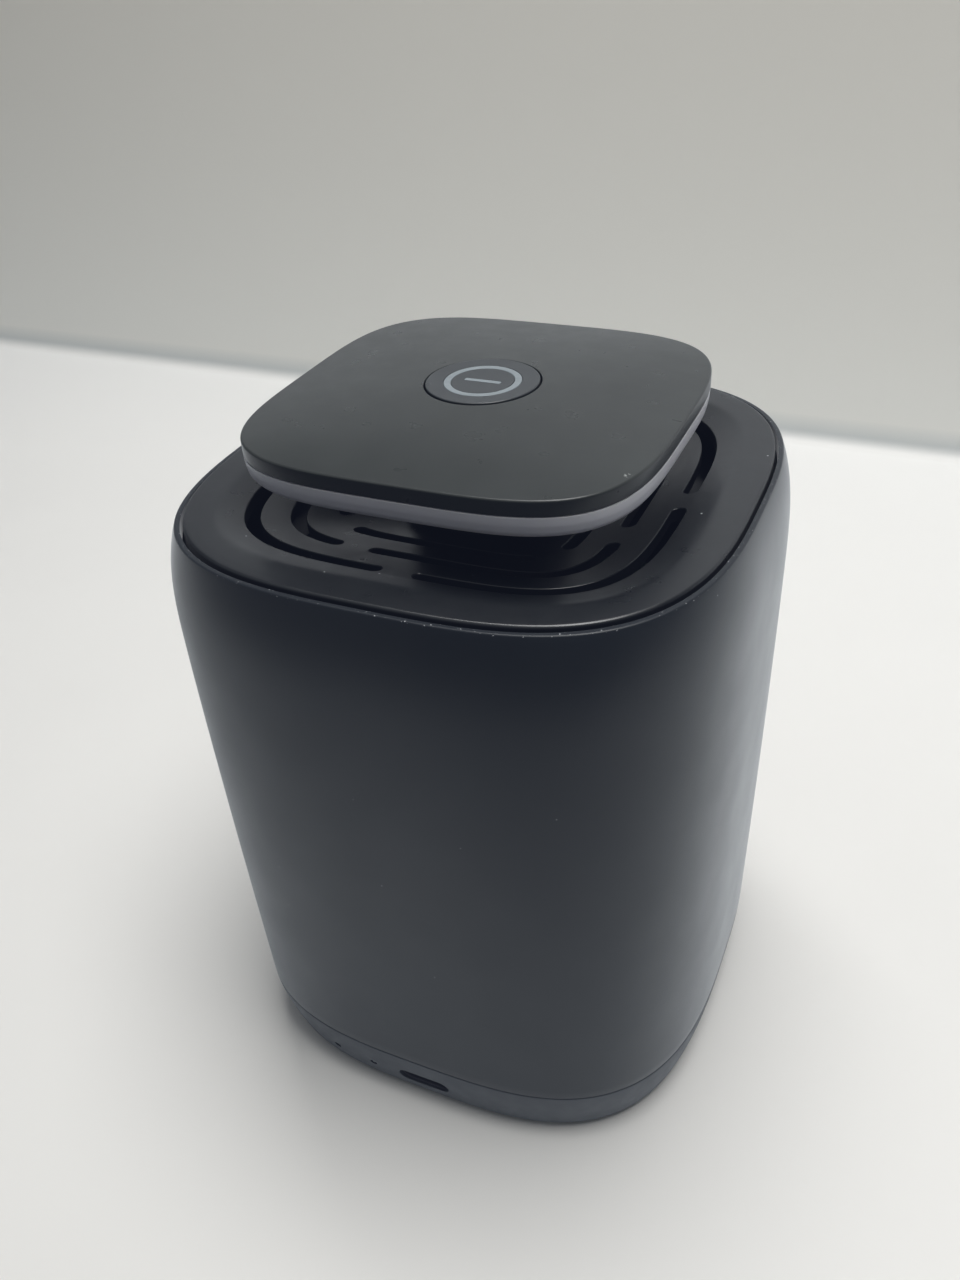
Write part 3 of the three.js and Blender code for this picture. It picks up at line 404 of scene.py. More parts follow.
def mouth_cutter(width, height, centre, mouth, slope, lip):
    """A cutter along Y with its mouth flared by a rounded lip where it meets the sloping wall."""
    depth = 12 * MM
    levels = [(0.0, depth), (0.0, lip), *flare(lip)]
    levels.append((levels[-1][0], -2 * lip))
    rings = []
    for out, inwards in levels:
        outline = stadium(width + 2 * out, height + 2 * out, centre, 0.0)
        rings.append([(x, mouth - slope * (z - centre[1]) + inwards, z) for x, _, z in outline])
    return tower("mouth", rings)


DISH_POWERS = [  # (half-width, power), from the round floor to the squircle rim
    (DISH_FLOOR, 2.4),
    (17.6 * MM, 5.2),
    (23.4 * MM, 4.6),
    (29.4 * MM, 3.9),
    (33.0 * MM, 3.7),
    (34.6 * MM, 3.5),
    (DISH_OUT_HALF, BODY_POWER),
]


def dish_power(half):
    halves, powers = zip(*DISH_POWERS)
    return float(np.interp(half, halves, powers))


def dish_surface(x, y):
    """The dish's height at a point: the height of the squircle through it."""
    low, high = max(abs(x), abs(y)), abs(x) + abs(y)
    for _ in range(40):
        middle = (low + high) / 2
        power = dish_power(middle)
        if (abs(x) / middle) ** power + (abs(y) / middle) ** power > 1:
            low = middle
        else:
            high = middle
    return dish_z((low + high) / 2)


def top_grille():
    floor_top = dish_z(DISH_FLOOR)
    halves = np.linspace(DISH_FLOOR, DISH_OUT_HALF, 86)[::-1]
    dish = [(h, dish_z(h), dish_power(h)) for h in halves]
    edge = GRILLE_EDGE_HALF
    skirt_inner, skirt_outer = SKIRT_HALF
    shoulder_low, shoulder_high = SHOULDER_Z
    ease = 0.2 * MM
    profile = [
        (WIRE_BORE, floor_top - GRILLE_THICK, 2),
        (DISH_FLOOR, floor_top - GRILLE_THICK, 2.4),
        (DISH_HALF, DISH_TOP - GRILLE_THICK, 3.6),
        (skirt_inner, GRILLE_TOP - 2.6 * MM, BODY_POWER),
        (skirt_inner, SKIRT_BOTTOM_Z, BODY_POWER),
        (skirt_outer, SKIRT_BOTTOM_Z, BODY_POWER),
        (skirt_outer, shoulder_low - ease, BODY_POWER),
        (SHOULDER_HALF, shoulder_low, BODY_POWER),
        (SHOULDER_HALF, shoulder_high, BODY_POWER),
        (edge, shoulder_high + ease, BODY_POWER),
        (edge, GRILLE_TOP, BODY_POWER),
        *dish,
        (WIRE_BORE, floor_top, 2),
    ]
    rim = profile.index((edge, GRILLE_TOP, BODY_POWER))
    plate = lofted("top_grille_plate", rounded(profile, {rim: 0.42 * MM}, steps=8), crease=40)
    slots = slot_cutters(SLOT_RINGS, dish_surface, depth=3.2 * MM, lip=0.2 * MM)
    return cut(plate, slots, crease=40)


def bottom_plate():
    low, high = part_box("bottom_plate")
    profile = [
        (0, low.z, 2),
        (high.x, low.z, BODY_POWER),
        (high.x, high.z, BODY_POWER),
        (0, high.z, 2),
    ]
    plate = lofted("bottom_plate_shell", rounded(profile, {1: 0.3 * MM}), facets=192)
    vents = slot_cutters(VENT_RINGS, lambda x, y: high.z, depth=4 * MM, lip=0.2 * MM)
    recesses = []
    for corner in CORNERS:
        foot_low, foot_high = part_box("foot_" + corner)
        middle = (foot_low + foot_high) / 2
        radius = (foot_high.x - foot_low.x) / 2 + 0.3 * MM
        top = foot_high.z
        recess = lofted("recess", [(0, -MM, 2), (radius, -MM, 2), (radius, top, 2), (0, top, 2)], ROUND)
        recess.data.transform(Matrix.Translation((middle.x, middle.y, 0)))
        recesses.append(recess)
    return cut(plate, vents, joined(recesses))


def foot(corner):
    low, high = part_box("foot_" + corner)
    middle = (low + high) / 2
    radius = (high.x - low.x) / 2
    hollow = 0.12 * MM  # under its middle
    profile = [
        (0, hollow, 2),
        (radius * 0.55, hollow, 2),
        (radius * 0.72, 0.0, 2),
        (radius, 0.0, 2),
        (radius, high.z, 2),
        (0, high.z, 2),
    ]
    piece = lofted("foot_pad_" + corner, rounded(profile, {2: 0.3 * MM, 3: 0.35 * MM}), ROUND)
    piece.data.transform(Matrix.Translation((middle.x, middle.y, 0)))
    return piece


# ---------------------------------------------------------------- the cap

def pedestal():
    low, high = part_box("pedestal")
    radius = 10.5 * MM
    profile = [
        (WIRE_BORE, low.z, 2),
        (high.x, low.z, 2),
        (high.x, low.z + 1.2 * MM, 2),
        (radius, low.z + 2.4 * MM, 2),
        (radius, high.z, 2),
        (WIRE_BORE, high.z, 2),
    ]
    radii = {2: 0.4 * MM, 3: 1.2 * MM, 4: 0.15 * MM}
    return lofted("pedestal_column", rounded(profile, radii, 8), ROUND * 2)


def cap_tray():
    low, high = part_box("cap_tray")
    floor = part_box("cap_board")[0].z - 0.05 * MM
    wall = 1.4 * MM
    profile = [
        (WIRE_BORE, low.z, 2),
        (18 * MM, low.z, 2.8),
        (high.x, low.z, CAP_POWER),
        (high.x, high.z, CAP_POWER),
        (high.x - wall, high.z, CAP_POWER),
        (high.x - wall, floor, CAP_POWER),
        (WIRE_BORE, floor, 2),
    ]
    return lofted("cap_tray_shell", rounded(profile, {2: 0.25 * MM}), facets=192)


def light_ring():
    inner = 26.5 * MM
    flange = 24.6 * MM
    flange_z = 109.15 * MM
    low = CAP_UNDER_Z
    profile = [
        (inner, low, CAP_POWER),
        (CAP_HALF - 0.7 * MM, low, CAP_POWER),
        (CAP_HALF - 0.25 * MM, low + 0.7 * MM, CAP_POWER),
        (CAP_HALF - 0.08 * MM, low + 1.7 * MM, CAP_POWER),
        (CAP_HALF, LIGHT_TOP_Z, CAP_POWER),
        (flange, LIGHT_TOP_Z, CAP_POWER),
        (flange, flange_z, CAP_POWER),
        (inner, flange_z, CAP_POWER),
    ]
    radii = {0: 0.15 * MM, 1: 0.4 * MM, 2: 0.9 * MM, 3: 3 * MM, 4: 0.06 * MM}
    return lofted("light_ring_diffuser", rounded(profile, radii, 8))


def cap_shell():
    bottom = LIGHT_TOP_Z + 0.1 * MM
    hole = BUTTON_RADIUS + BUTTON_GAP
    inner = CAP_HALF - CAP_WALL
    halves = np.linspace(hole, CAP_HALF, 60)[::-1]

    def power(half):
        """Round at the button and square at the edge."""
        return float(np.interp(half, [hole, 15 * MM, 22 * MM, CAP_HALF], [2, 2.6, 3.2, CAP_POWER]))

    dome = [(h, dome_z(h), power(h)) for h in halves]
    under = [(h, dome_z(h) - CAP_WALL, power(h)) for h in halves[::-6]]
    profile = [
        (inner, bottom, CAP_POWER),
        (CAP_HALF, bottom, CAP_POWER),
        *dome,
        *under[:-1],
        (inner, CREASE_Z - CAP_WALL, CAP_POWER),
    ]
    crease = 2
    lip = 1 + len(dome)
    radii = {1: 0.12 * MM, crease: 0.3 * MM, lip: 0.1 * MM}
    return lofted("cap_lid", rounded(profile, radii, 8), crease=40)


def button_z(radius):
    """The button's top, hollowed for a fingertip."""
    return BUTTON_EDGE_Z - BUTTON_DISH * (1 - (radius / BUTTON_RADIUS) ** 2)


def power_button():
    flange_top = dome_z(BUTTON_RADIUS + BUTTON_GAP) - CAP_WALL - 0.2 * MM
    flange_low = flange_top - 0.8 * MM
    gap = 0.06 * MM
    outer, inner = SYMBOL_OUTER + gap, SYMBOL_INNER - gap
    floor = SYMBOL_FLOOR_Z - 0.1 * MM
    stem = 2.0 * MM
    rows = [(r, button_z(r), 2) for r in np.linspace(BUTTON_RADIUS, outer, 12)]
    middle = [(r, button_z(r), 2) for r in np.linspace(inner, 0, 14)]
    profile = [
        (0, BUTTON_BOTTOM_Z, 2),
        (stem, BUTTON_BOTTOM_Z, 2),
        (stem, flange_low, 2),
        (BUTTON_FLANGE, flange_low, 2),
        (BUTTON_FLANGE, flange_top, 2),
        (BUTTON_RADIUS, flange_top, 2),
        *rows,
        (outer, floor, 2),
        (inner, floor, 2),
        *middle,
    ]
    edge = 6
    button = lofted("power_button_disc", rounded(profile, {edge: 0.16 * MM}, 8), ROUND * 2)
    return cut(button, bar_block("groove", gap, CAP_TOP_Z + MM))


def symbol_ring():
    profile = [
        (SYMBOL_INNER, SYMBOL_FLOOR_Z, 2),
        (SYMBOL_OUTER, SYMBOL_FLOOR_Z, 2),
        (SYMBOL_OUTER, button_z(SYMBOL_OUTER) + SYMBOL_RISE, 2),
        (SYMBOL_INNER, button_z(SYMBOL_INNER) + SYMBOL_RISE, 2),
    ]
    edges = {2: 0.08 * MM, 3: 0.08 * MM}
    return lofted("power_symbol_ring_guide", rounded(profile, edges, 4), ROUND * 2)


def bar_block(name, margin, top):
    """The symbol's bar, or with a margin the groove that it lies in."""
    half_x, half_y = BAR_HALF[0] + margin, BAR_HALF[1] + margin
    floor = SYMBOL_FLOOR_Z - (0.1 * MM if margin else 0)
    corner = 0.15 * MM
    outline = []
    for quarter, (sx, sy) in enumerate([(1, -1), (1, 1), (-1, 1), (-1, -1)]):
        for k in range(5):
            angle = (quarter - 1) * TAU / 4 + k * TAU / 16
            x = sx * (half_x - corner) + corner * math.cos(angle)
            y = sy * (half_y - corner) + corner * math.sin(angle)
            outline.append((x, y))
    return tower(name, [[(x, y, z) for x, y in outline] for z in (floor, top)])


def symbol_bar():
    return bar_block("power_symbol_bar_guide", 0, button_z(0) + SYMBOL_RISE)


# ---------------------------------------------------------------- the port

def usb_shell():
    low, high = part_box("usb_shell")
    centre = ((low.x + high.x) / 2, (low.z + high.z) / 2)
    width, height = high.x - low.x, high.z - low.z
    wall = 0.3 * MM
    back = high.y
    levels = [  # (how far in from the outside, y)
        (0.0, back),
        (0.0, low.y + 0.12 * MM),
        (0.06 * MM, low.y),
        (wall - 0.1 * MM, low.y),
        (wall, low.y + 0.15 * MM),
        (wall, back - 1.0 * MM),
    ]
    rings = [stadium(width - 2 * inset, height - 2 * inset, centre, y) for inset, y in levels]
    return tower("usb_socket_shell", rings)


def usb_tongue():
    low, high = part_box("usb_tongue")
    chamfer = 0.18 * MM
    rings = []
    for y, inset in ((low.y, chamfer), (low.y + chamfer, 0.0), (high.y, 0.0)):
        rings.append([
            (high.x - inset, y, low.z + inset),
            (high.x - inset, y, high.z - inset),
            (low.x + inset, y, high.z - inset),
            (low.x + inset, y, low.z + inset),
        ])
    return tower("usb_socket_tongue", [ring[::-1] for ring in rings])


# ---------------------------------------------------------------- materials

class Look:
    """A material: a Principled shader whose inputs are fed step by step. Pattern scales are per mm."""

    def __init__(self, name, roughness=0.5, metallic=0.0, ior=1.5):
        self.material = bpy.data.materials.new(name)
        self.material.use_nodes = True
        self.tree = self.material.node_tree
        self.shader = self.tree.nodes["Principled BSDF"]
        self.shader.inputs["Roughness"].default_value = roughness
        self.shader.inputs["Metallic"].default_value = metallic
        self.shader.inputs["IOR"].default_value = ior
        self.place = self.node("ShaderNodeTexCoord").outputs["Object"]
        self.bump_out = None

    def node(self, kind, **settings):
        node = self.tree.nodes.new(kind)
        for key, value in settings.items():
            setattr(node, key, value)
        return node

    def link(self, source, target):
        self.tree.links.new(source, target)

    def where(self, scale=(1, 1, 1)):
        mapping = self.node("ShaderNodeMapping")
        mapping.inputs["Scale"].default_value = [s / MM for s in scale]
        self.link(self.place, mapping.inputs["Vector"])
        return mapping.outputs["Vector"]

    def noise(self, scale, stretch=(1, 1, 1), detail=3.0):
        noise = self.node("ShaderNodeTexNoise")
        noise.inputs["Scale"].default_value = scale
        noise.inputs["Detail"].default_value = detail
        self.link(self.where(stretch), noise.inputs["Vector"])
        return noise.outputs["Fac"]

    def cells(self, scale, randomness=1.0):
        cells = self.node("ShaderNodeTexVoronoi")
        cells.inputs["Scale"].default_value = scale
        cells.inputs["Randomness"].default_value = randomness
        self.link(self.where(), cells.inputs["Vector"])
        return cells.outputs["Distance"]

    def span(self, source, low, high, out_low=0.0, out_high=1.0):
        node = self.node("ShaderNodeMapRange")
        values = {"From Min": low, "From Max": high, "To Min": out_low, "To Max": out_high}
        for key, value in values.items():
            node.inputs[key].default_value = value
        self.link(source, node.inputs["Value"])
        return node.outputs["Result"]

    def specks(self, apart, radius):
        """Round specks of about that radius, where a cell of that width happens to reach the surface."""
        return self.span(self.cells(1 / apart), 1.2 * radius / apart, 0.8 * radius / apart)

    def distance(self, point):
        node = self.node("ShaderNodeVectorMath", operation="DISTANCE")
        self.link(self.place, node.inputs[0])
        node.inputs[1].default_value = point
        return node.outputs["Value"]

    def math(self, operation, first, second):
        node = self.node("ShaderNodeMath", operation=operation)
        for socket, value in zip(node.inputs, (first, second)):
            if isinstance(value, (int, float)):
                socket.default_value = value
            else:
                self.link(value, socket)
        return node.outputs[0]

    def along(self, axis):
        split = self.node("ShaderNodeSeparateXYZ")
        self.link(self.place, split.inputs[0])
        return split.outputs[axis]

    def mix(self, factor, first, second):
        node = self.node("ShaderNodeMix", data_type="RGBA")
        self.link(factor, node.inputs["Factor"])
        for key, value in (("A", first), ("B", second)):
            socket = next(s for s in node.inputs if s.name == key and s.type == "RGBA")
            if isinstance(value, tuple):
                socket.default_value = (*value, 1)
            else:
                self.link(value, socket)
        return next(s for s in node.outputs if s.type == "RGBA")

    def color(self, source):
        self.link(source, self.shader.inputs["Base Color"])
        return self

    def roughness(self, source):
        self.link(source, self.shader.inputs["Roughness"])
        return self

    def bump(self, source, depth):
        node = self.node("ShaderNodeBump")
        node.inputs["Distance"].default_value = depth * MM
        node.inputs["Strength"].default_value = 1.0
        self.link(source, node.inputs["Height"])
        if self.bump_out:
            self.link(self.bump_out, node.inputs["Normal"])
        self.bump_out = node.outputs["Normal"]
        self.link(self.bump_out, self.shader.inputs["Normal"])
        return self

    def mottled(self, color, amount, scale=0.08):
        dark = tuple(c * (1 - amount) for c in color)
        light = tuple(c * (1 + amount) for c in color)
        return self.mix(self.span(self.noise(scale), 0.35, 0.65), dark, light)


def moulded(name, color, roughness, grain=6.0, depth=0.012, mottle=0.08, ior=1.5, spread=0.05):
    """Moulded plastic or rubber: a fine eroded grain, faint mottling and a roughness that wanders."""
    look = Look(name, roughness, ior=ior)
    look.color(look.mottled(color, mottle))
    look.roughness(look.span(look.noise(0.35), 0.3, 0.7, roughness - spread, roughness + spread))
    look.bump(look.noise(grain, detail=2.0), depth)
    return look


def charcoal_look(name, color, ior=1.5, painted_shade_color=None, heights=(0, 0)):
    """The matte plastic of the grille, cap and button. Below the first of two heights it can take a darker
    colour, painted shade, and goes over to its own colour at the second."""
    look = Look(name, ior=ior)
    body = look.mottled(color, 0.07)
    if painted_shade_color:
        body = look.mix(look.span(look.along("Z"), *heights), look.mottled(painted_shade_color, 0.07), body)
    look.color(body)
    look.roughness(look.span(look.noise(0.25), 0.3, 0.7, 0.27, 0.33))
    return look.bump(look.noise(0.9, detail=1.0), 0.004)


def grille_look():
    """The grille's plastic, with painted shade darkening its sunken dish and slots below the rim, and a few
    specks of dust.
    """
    heights = (DISH_TOP - 0.7 * MM, DISH_TOP + 0.15 * MM)
    # Painted shade: the sunken dish and the walls of its slots take the darker colour, the rim its own.
    rim, dish = (0.0100, 0.0114, 0.0128), (0.0048, 0.0056, 0.0066)
    look = charcoal_look("charcoal_grille", rim, 1.56, dish, heights)
    body = look.shader.inputs["Base Color"].links[0].from_socket
    return look.color(look.mix(look.specks(4.5, 0.13), body, (0.50, 0.52, 0.54)))


def cap_look():
    """The cap's plastic, with painted shade on its upright side below the crease, and the small chip that
    its crease has near a corner.
    """
    heights = (CREASE_Z - 0.3 * MM, CREASE_Z - 0.1 * MM)
    # Painted shade: the cap's side below the crease gets a darker colour than its top.
    top, painted_shade_band = (0.0345, 0.0380, 0.0362), (0.015, 0.0172, 0.0176)
    look = charcoal_look("charcoal_plastic", top, 1.4, painted_shade_band, heights)
    body = look.shader.inputs["Base Color"].links[0].from_socket
    chipped = look.span(look.distance(CHIP), 0.6 * MM, 0.3 * MM)
    ragged = look.span(look.noise(3.0, detail=1.0), 0.54, 0.60)
    return look.color(look.mix(look.math("MULTIPLY", chipped, ragged), body, (0.28, 0.29, 0.28)))


def sleeve_look():
    """Dark anodised metal: faint brushing round the body, a fine grain and bright nicks on the rim."""
    look = Look("sleeve_metal", ior=1.38)
    body = look.mottled((0.0098, 0.0130, 0.0172), 0.06, 0.05)
    z = look.along("Z")
    rim = look.span(z, RIM_Z - 0.34 * MM, RIM_Z - 0.22 * MM)
    nicks = look.span(look.noise(2.6, detail=4.0), 0.67, 0.71, 0.0, 0.7)
    worn = look.math("MULTIPLY", rim, nicks)
    dust = look.span(look.cells(1 / 5.0), 0.026, 0.016, 0.0, 0.35)
    look.color(look.mix(look.math("MAXIMUM", worn, dust), body, (0.55, 0.56, 0.58)))
    look.roughness(look.span(look.noise(0.12), 0.3, 0.7, 0.36, 0.42))
    look.shader.inputs["Sheen Weight"].default_value = 0.38
    look.shader.inputs["Sheen Roughness"].default_value = 0.40
    look.shader.inputs["Sheen Tint"].default_value = (0.96, 0.98, 1.0, 1)
    look.bump(look.noise(1.5, stretch=(0.6, 0.6, 14.0), detail=3.0), 0.006)
    return look.bump(look.noise(9.0, detail=1.0), 0.006)


def diffuser_look():
    look = Look("light_diffuser", ior=1.46)
    look.color(look.mottled((0.66, 0.65, 0.69), 0.03))
    look.shader.inputs["Subsurface Weight"].default_value = 0.6
    look.shader.inputs["Subsurface Radius"].default_value = (1.0, 1.0, 1.1)
    look.shader.inputs["Subsurface Scale"].default_value = 1.5 * MM
    look.roughness(look.span(look.noise(0.4), 0.3, 0.7, 0.32, 0.40))
    return look.bump(look.noise(5.0, detail=1.0), 0.004)


def symbol_look():
    look = Look("symbol_light_guide", ior=1.46)
    look.color(look.mottled((0.215, 0.245, 0.262), 0.05, 0.6))
    look.roughness(look.span(look.noise(1.4), 0.3, 0.7, 0.34, 0.46))
    return look.bump(look.noise(8.0, detail=1.0), 0.004)


def metal(name, color, roughness, brush=(1, 1, 1), grain=2.0, depth=0.004, mottle=0.06):
    look = Look(name, metallic=1.0)
    look.color(look.mottled(color, mottle, 0.3))
    look.roughness(look.span(look.noise(0.8), 0.3, 0.7, roughness - 0.06, roughness + 0.06))
    return look.bump(look.noise(grain, stretch=brush, detail=4.0), depth)


def board_look():
    """Solder mask over tracks, with rows of tinned pads."""
    look = Look("circuit_board", ior=1.52)
    tracks = look.node("ShaderNodeTexBrick")
    look.link(look.where(), tracks.inputs["Vector"])
    sizes = {"Scale": 0.9, "Mortar Size": 0.05, "Brick Width": 3.2, "Row Height": 0.45}
    for key, value in sizes.items():
        tracks.inputs[key].default_value = value
    mask = look.mix(tracks.outputs["Fac"], (0.006, 0.045, 0.020), (0.014, 0.085, 0.038))
    pads = look.span(look.cells(0.35, randomness=0.6), 0.30, 0.26)
    look.color(look.mix(pads, mask, (0.42, 0.40, 0.33)))
    look.roughness(look.span(look.noise(0.7), 0.3, 0.7, 0.28, 0.40))
    return look.bump(tracks.outputs["Fac"], 0.03)


def ribbon_look():
    look = Look("ribbon_film", ior=1.6)
    lines = look.node("ShaderNodeTexWave", bands_direction="X")
    lines.inputs["Scale"].default_value = 0.6
    look.link(look.where(), lines.inputs["Vector"])
    copper = look.span(lines.outputs["Fac"], 0.4, 0.6)
    look.color(look.mix(copper, (0.36, 0.18, 0.03), (0.50, 0.30, 0.08)))
    look.roughness(look.span(look.noise(0.6), 0.3, 0.7, 0.22, 0.34))
    return look.bump(lines.outputs["Fac"], 0.02)


def clear_look(name, tint):
    look = Look(name, ior=1.49)
    look.color(look.mottled(tint, 0.02, 0.5))
    look.shader.inputs["Transmission Weight"].default_value = 0.6
    look.roughness(look.span(look.noise(1.0), 0.3, 0.7, 0.06, 0.16))
    return look.bump(look.noise(2.0), 0.004)


LOOKS = {
    "sleeve_metal": sleeve_look(),
    "charcoal_plastic": cap_look(),
    "top_grille": grille_look(),
    "power_button": charcoal_look("charcoal_button", (0.030, 0.0345, 0.037)),
    "base_plastic": moulded("base_plastic", (0.064, 0.071, 0.082), 0.46, grain=8.0, depth=0.008),
    "black_plastic": moulded("black_plastic", (0.010, 0.010, 0.012), 0.50, grain=5.0),
    "foot_rubber": moulded("foot_rubber", (0.014, 0.014, 0.014), 0.78, grain=9.0, depth=0.02),
    "nylon": moulded("nylon", (0.030, 0.031, 0.034), 0.55, grain=4.0, depth=0.02),
    "silicone_pad": moulded("silicone_pad", (0.20, 0.25, 0.32), 0.72, grain=2.0, depth=0.03),
    "diffuser": diffuser_look(),
    "symbol_white": symbol_look(),
    "circuit_board": board_look(),
    "ribbon_film": ribbon_look(),
    "screw_steel": metal("screw_steel", (0.42, 0.42, 0.43), 0.34),
    # The port's steel is coloured far darker than bare steel: painted shade inside the port's mouth.
    "port_steel": metal("port_steel", (0.10, 0.10, 0.11), 0.40, brush=(1, 8, 1)),
    "shield_tin": metal("shield_tin", (0.60, 0.61, 0.62), 0.32, grain=1.2, depth=0.01),
    "sink_aluminium": metal("sink_aluminium", (0.46, 0.47, 0.49), 0.38, brush=(6, 1, 0.3), depth=0.01),
    "antenna_brass": metal("antenna_brass", (0.60, 0.44, 0.17), 0.30, brush=(1, 1, 6)),
    "clear_plastic": clear_look("clear_plastic", (0.80, 0.84, 0.86)),
    "led_lens": clear_look("led_lens", (0.88, 0.82, 0.62)),
}


def wear(piece, node):
    """Gives a piece the look of its node, or else of the node's slot in the record."""
    look = LOOKS.get(node) or LOOKS[SLOT_OF[node]]
    piece.data.materials.clear()
    piece.data.materials.append(look.material)


# ---------------------------------------------------------------- assembly

SLOT_OF = {row["node"]: row["material_slot"] for row in frame["record"]["subparts"]}
BODY_OF = {node: body for body, nodes in frame["record"]["behaviour"]["bodies"].items() for node in nodes}


def stand_for(piece, node):
    wear(piece, node)
    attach(piece, BODY_OF[node])
    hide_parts(node)


REMADE = {
    "outer_sleeve": outer_sleeve,
    "base_ring": base_ring,
    "top_grille": top_grille,
    "bottom_plate": bottom_plate,
    "pedestal": pedestal,
    "cap_tray": cap_tray,
    "light_ring": light_ring,
    "cap_shell": cap_shell,
    "power_button": power_button,
    "power_symbol_ring": symbol_ring,
    "power_symbol_bar": symbol_bar,
    "usb_shell": usb_shell,
    "usb_tongue": usb_tongue,
}
for node_name, make in REMADE.items():
    stand_for(make(), node_name)
for corner_name in CORNERS:
    stand_for(foot(corner_name), "foot_" + corner_name)



def soften(piece):
    """Breaks the sharp edges of a piece that keeps its CAD shape."""
    bevel = piece.modifiers.new("edge_break", "BEVEL")
    bevel.width = 0.1 * MM
    bevel.segments = 2
    bevel.limit_method = "ANGLE"
    bevel.angle_limit = math.radians(40)
    bevel.use_clamp_overlap = True
    bevel.harden_normals = True


for node_name, node_object in frame["nodes"].items():
    wear(node_object, node_name)
    if node_name not in REMADE and not node_name.startswith("foot_"):
        soften(node_object)


# ---------------------------------------------------------------- camera, stage and light

def camera():
    azimuth, elevation, roll = (math.radians(a) for a in (26.01, 34.86, -4.02))
    target = Vector((0, 0, 50.33 * MM))
    distance = 192.47 * MM
    aside, above = -2.92 * MM, 16.19 * MM
    back = Vector((
        math.sin(azimuth) * math.cos(elevation),
        -math.cos(azimuth) * math.cos(elevation),
        math.sin(elevation),
    ))
    level = (-back).cross(Vector((0, 0, 1))).normalized()
    upright = level.cross(-back)
    right = level * math.cos(roll) + upright * math.sin(roll)
    up = upright * math.cos(roll) - level * math.sin(roll)
    data = bpy.data.cameras.new("camera")
    data.lens = 31.47
    data.sensor_width = 36.0
    data.clip_start = 0.01
    made = bpy.data.objects.new("camera", data)
    bpy.context.scene.collection.objects.link(made)
    made.matrix_world = Matrix((
        (right.x, up.x, back.x, 0),
        (right.y, up.y, back.y, 0),
        (right.z, up.z, back.z, 0),
        (0, 0, 0, 1),
    ))
    made.location = target + back * distance + level * aside + upright * above
    bpy.context.scene.camera = made


def stage():
    """A pale table top that meets a wall close behind the part. The wall is painted with shade: darker
    higher up, with a painted shadow line at its foot. What the part reflects of them is painted dimmer
    in front and high up, painted shade as in a room lit from above."""
    wall_y, cove, height, front, side = 0.238, 0.004, 1.1, -4.0, 4.0
    steps = 12
    section = [(front, 0.0)]
    for k in range(steps + 1):
        angle = TAU / 4 * k / steps
        section.append((wall_y - cove + cove * math.sin(angle), cove - cove * math.cos(angle)))
    section.append((wall_y, height))
    verts = [(x, y, z) for y, z in section for x in (-side, side)]
    faces = [(2 * i, 2 * i + 1, 2 * i + 3, 2 * i + 2) for i in range(len(section) - 1)]
    sweep = mesh_object("table_and_wall", verts, faces, crease=60)
    look = Look("table_and_wall", roughness=0.55)
    y, z = look.along("Y"), look.along("Z")
    table = look.mottled((0.80, 0.785, 0.75), 0.01, 0.01)
    table_felt = (0.78, 0.81, 0.82)
    # Painted shade: the wall's colour darkens higher up, and a painted shadow line darkens its foot.
    wall = look.mix(look.span(z, 0.02, 0.22), (0.84, 0.813, 0.75), (0.73, 0.692, 0.615))
    wall = look.mix(look.span(z, 0.003, 0.010), (0.62, 0.63, 0.61), wall)
    seen = look.mix(look.span(z, 0.0005, 0.004), table, wall)
    # Painted shade seen only in reflections: the table and wall turn dark grey in front of the part and
    # high up, and black above the wall's upper reaches.
    high = look.span(z, 0.295, 0.335)
    near = look.span(y, -0.10, -0.20)
    painted_shade_in_reflections = look.math("MAXIMUM", high, near)
    room_felt = look.mix(look.span(z, 0.0005, 0.004), table_felt, (0.94, 0.95, 0.96))
    upper = look.mix(look.span(z, 0.42, 0.55), (0.10, 0.11, 0.13), (0.0, 0.0, 0.0))
    felt = look.mix(painted_shade_in_reflections, room_felt, upper)
    path = look.node("ShaderNodeLightPath")
    look.color(look.mix(path.outputs["Is Camera Ray"], felt, seen))
    look.bump(look.noise(1.2), 0.01)
    sweep.data.materials.append(look.material)


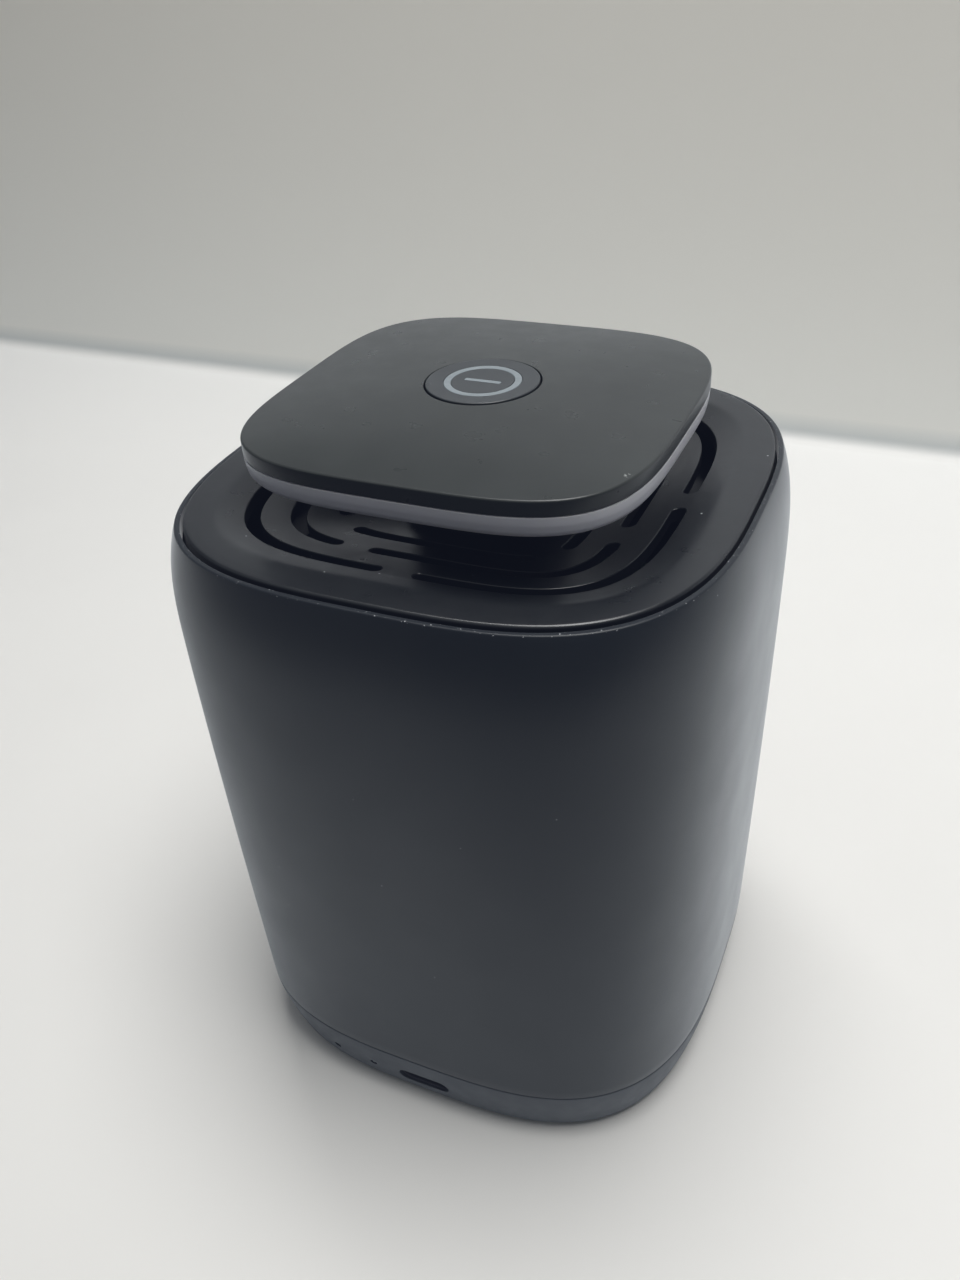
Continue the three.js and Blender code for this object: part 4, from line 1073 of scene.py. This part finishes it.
def softbox():
    place, aim = Vector((0.05, 0.07, 0.75)), Vector((0.0, 0.02, 0.05))
    data = bpy.data.lights.new("softbox_above", "AREA")
    data.shape = "RECTANGLE"
    data.size, data.size_y = 0.74, 0.30
    data.energy = 6.2
    light = bpy.data.objects.new("softbox_above", data)
    bpy.context.scene.collection.objects.link(light)
    light.location = place
    light.rotation_euler = (aim - place).to_track_quat("-Z", "Y").to_euler()


def surroundings():
    """A pale room to look at, and a dimmer one, darkest in front, for what the part reflects."""
    world = bpy.data.worlds.new("room")
    bpy.context.scene.world = world
    world.use_nodes = True
    tree = world.node_tree
    tree.nodes.clear()
    direction = tree.nodes.new("ShaderNodeTexCoord")
    split = tree.nodes.new("ShaderNodeSeparateXYZ")
    ramp = tree.nodes.new("ShaderNodeMapRange")
    seen = tree.nodes.new("ShaderNodeBackground")
    felt = tree.nodes.new("ShaderNodeBackground")
    path = tree.nodes.new("ShaderNodeLightPath")
    mix = tree.nodes.new("ShaderNodeMixShader")
    out = tree.nodes.new("ShaderNodeOutputWorld")
    tree.links.new(direction.outputs["Generated"], split.inputs[0])
    tree.links.new(split.outputs["Z"], ramp.inputs["Value"])
    for key, value in {"From Min": 0.1, "From Max": 0.9, "To Min": 0.02, "To Max": 0.35}.items():
        ramp.inputs[key].default_value = value
    tree.links.new(ramp.outputs["Result"], felt.inputs["Strength"])
    felt.inputs["Color"].default_value = (0.90, 0.95, 1.0, 1)
    seen.inputs["Color"].default_value = (0.50, 0.50, 0.47, 1)
    tree.links.new(path.outputs["Is Camera Ray"], mix.inputs["Fac"])
    tree.links.new(felt.outputs[0], mix.inputs[1])
    tree.links.new(seen.outputs[0], mix.inputs[2])
    tree.links.new(mix.outputs[0], out.inputs["Surface"])


def lens_veil():
    """Lifts the blacks slightly, as a lens in a bright room does."""
    view = bpy.context.scene.view_settings
    view.view_transform = "Standard"
    view.use_curve_mapping = True
    view.curve_mapping.black_level = (-0.004, -0.005, -0.009)
    view.curve_mapping.update()


camera()
stage()
surroundings()
softbox()
lens_veil()
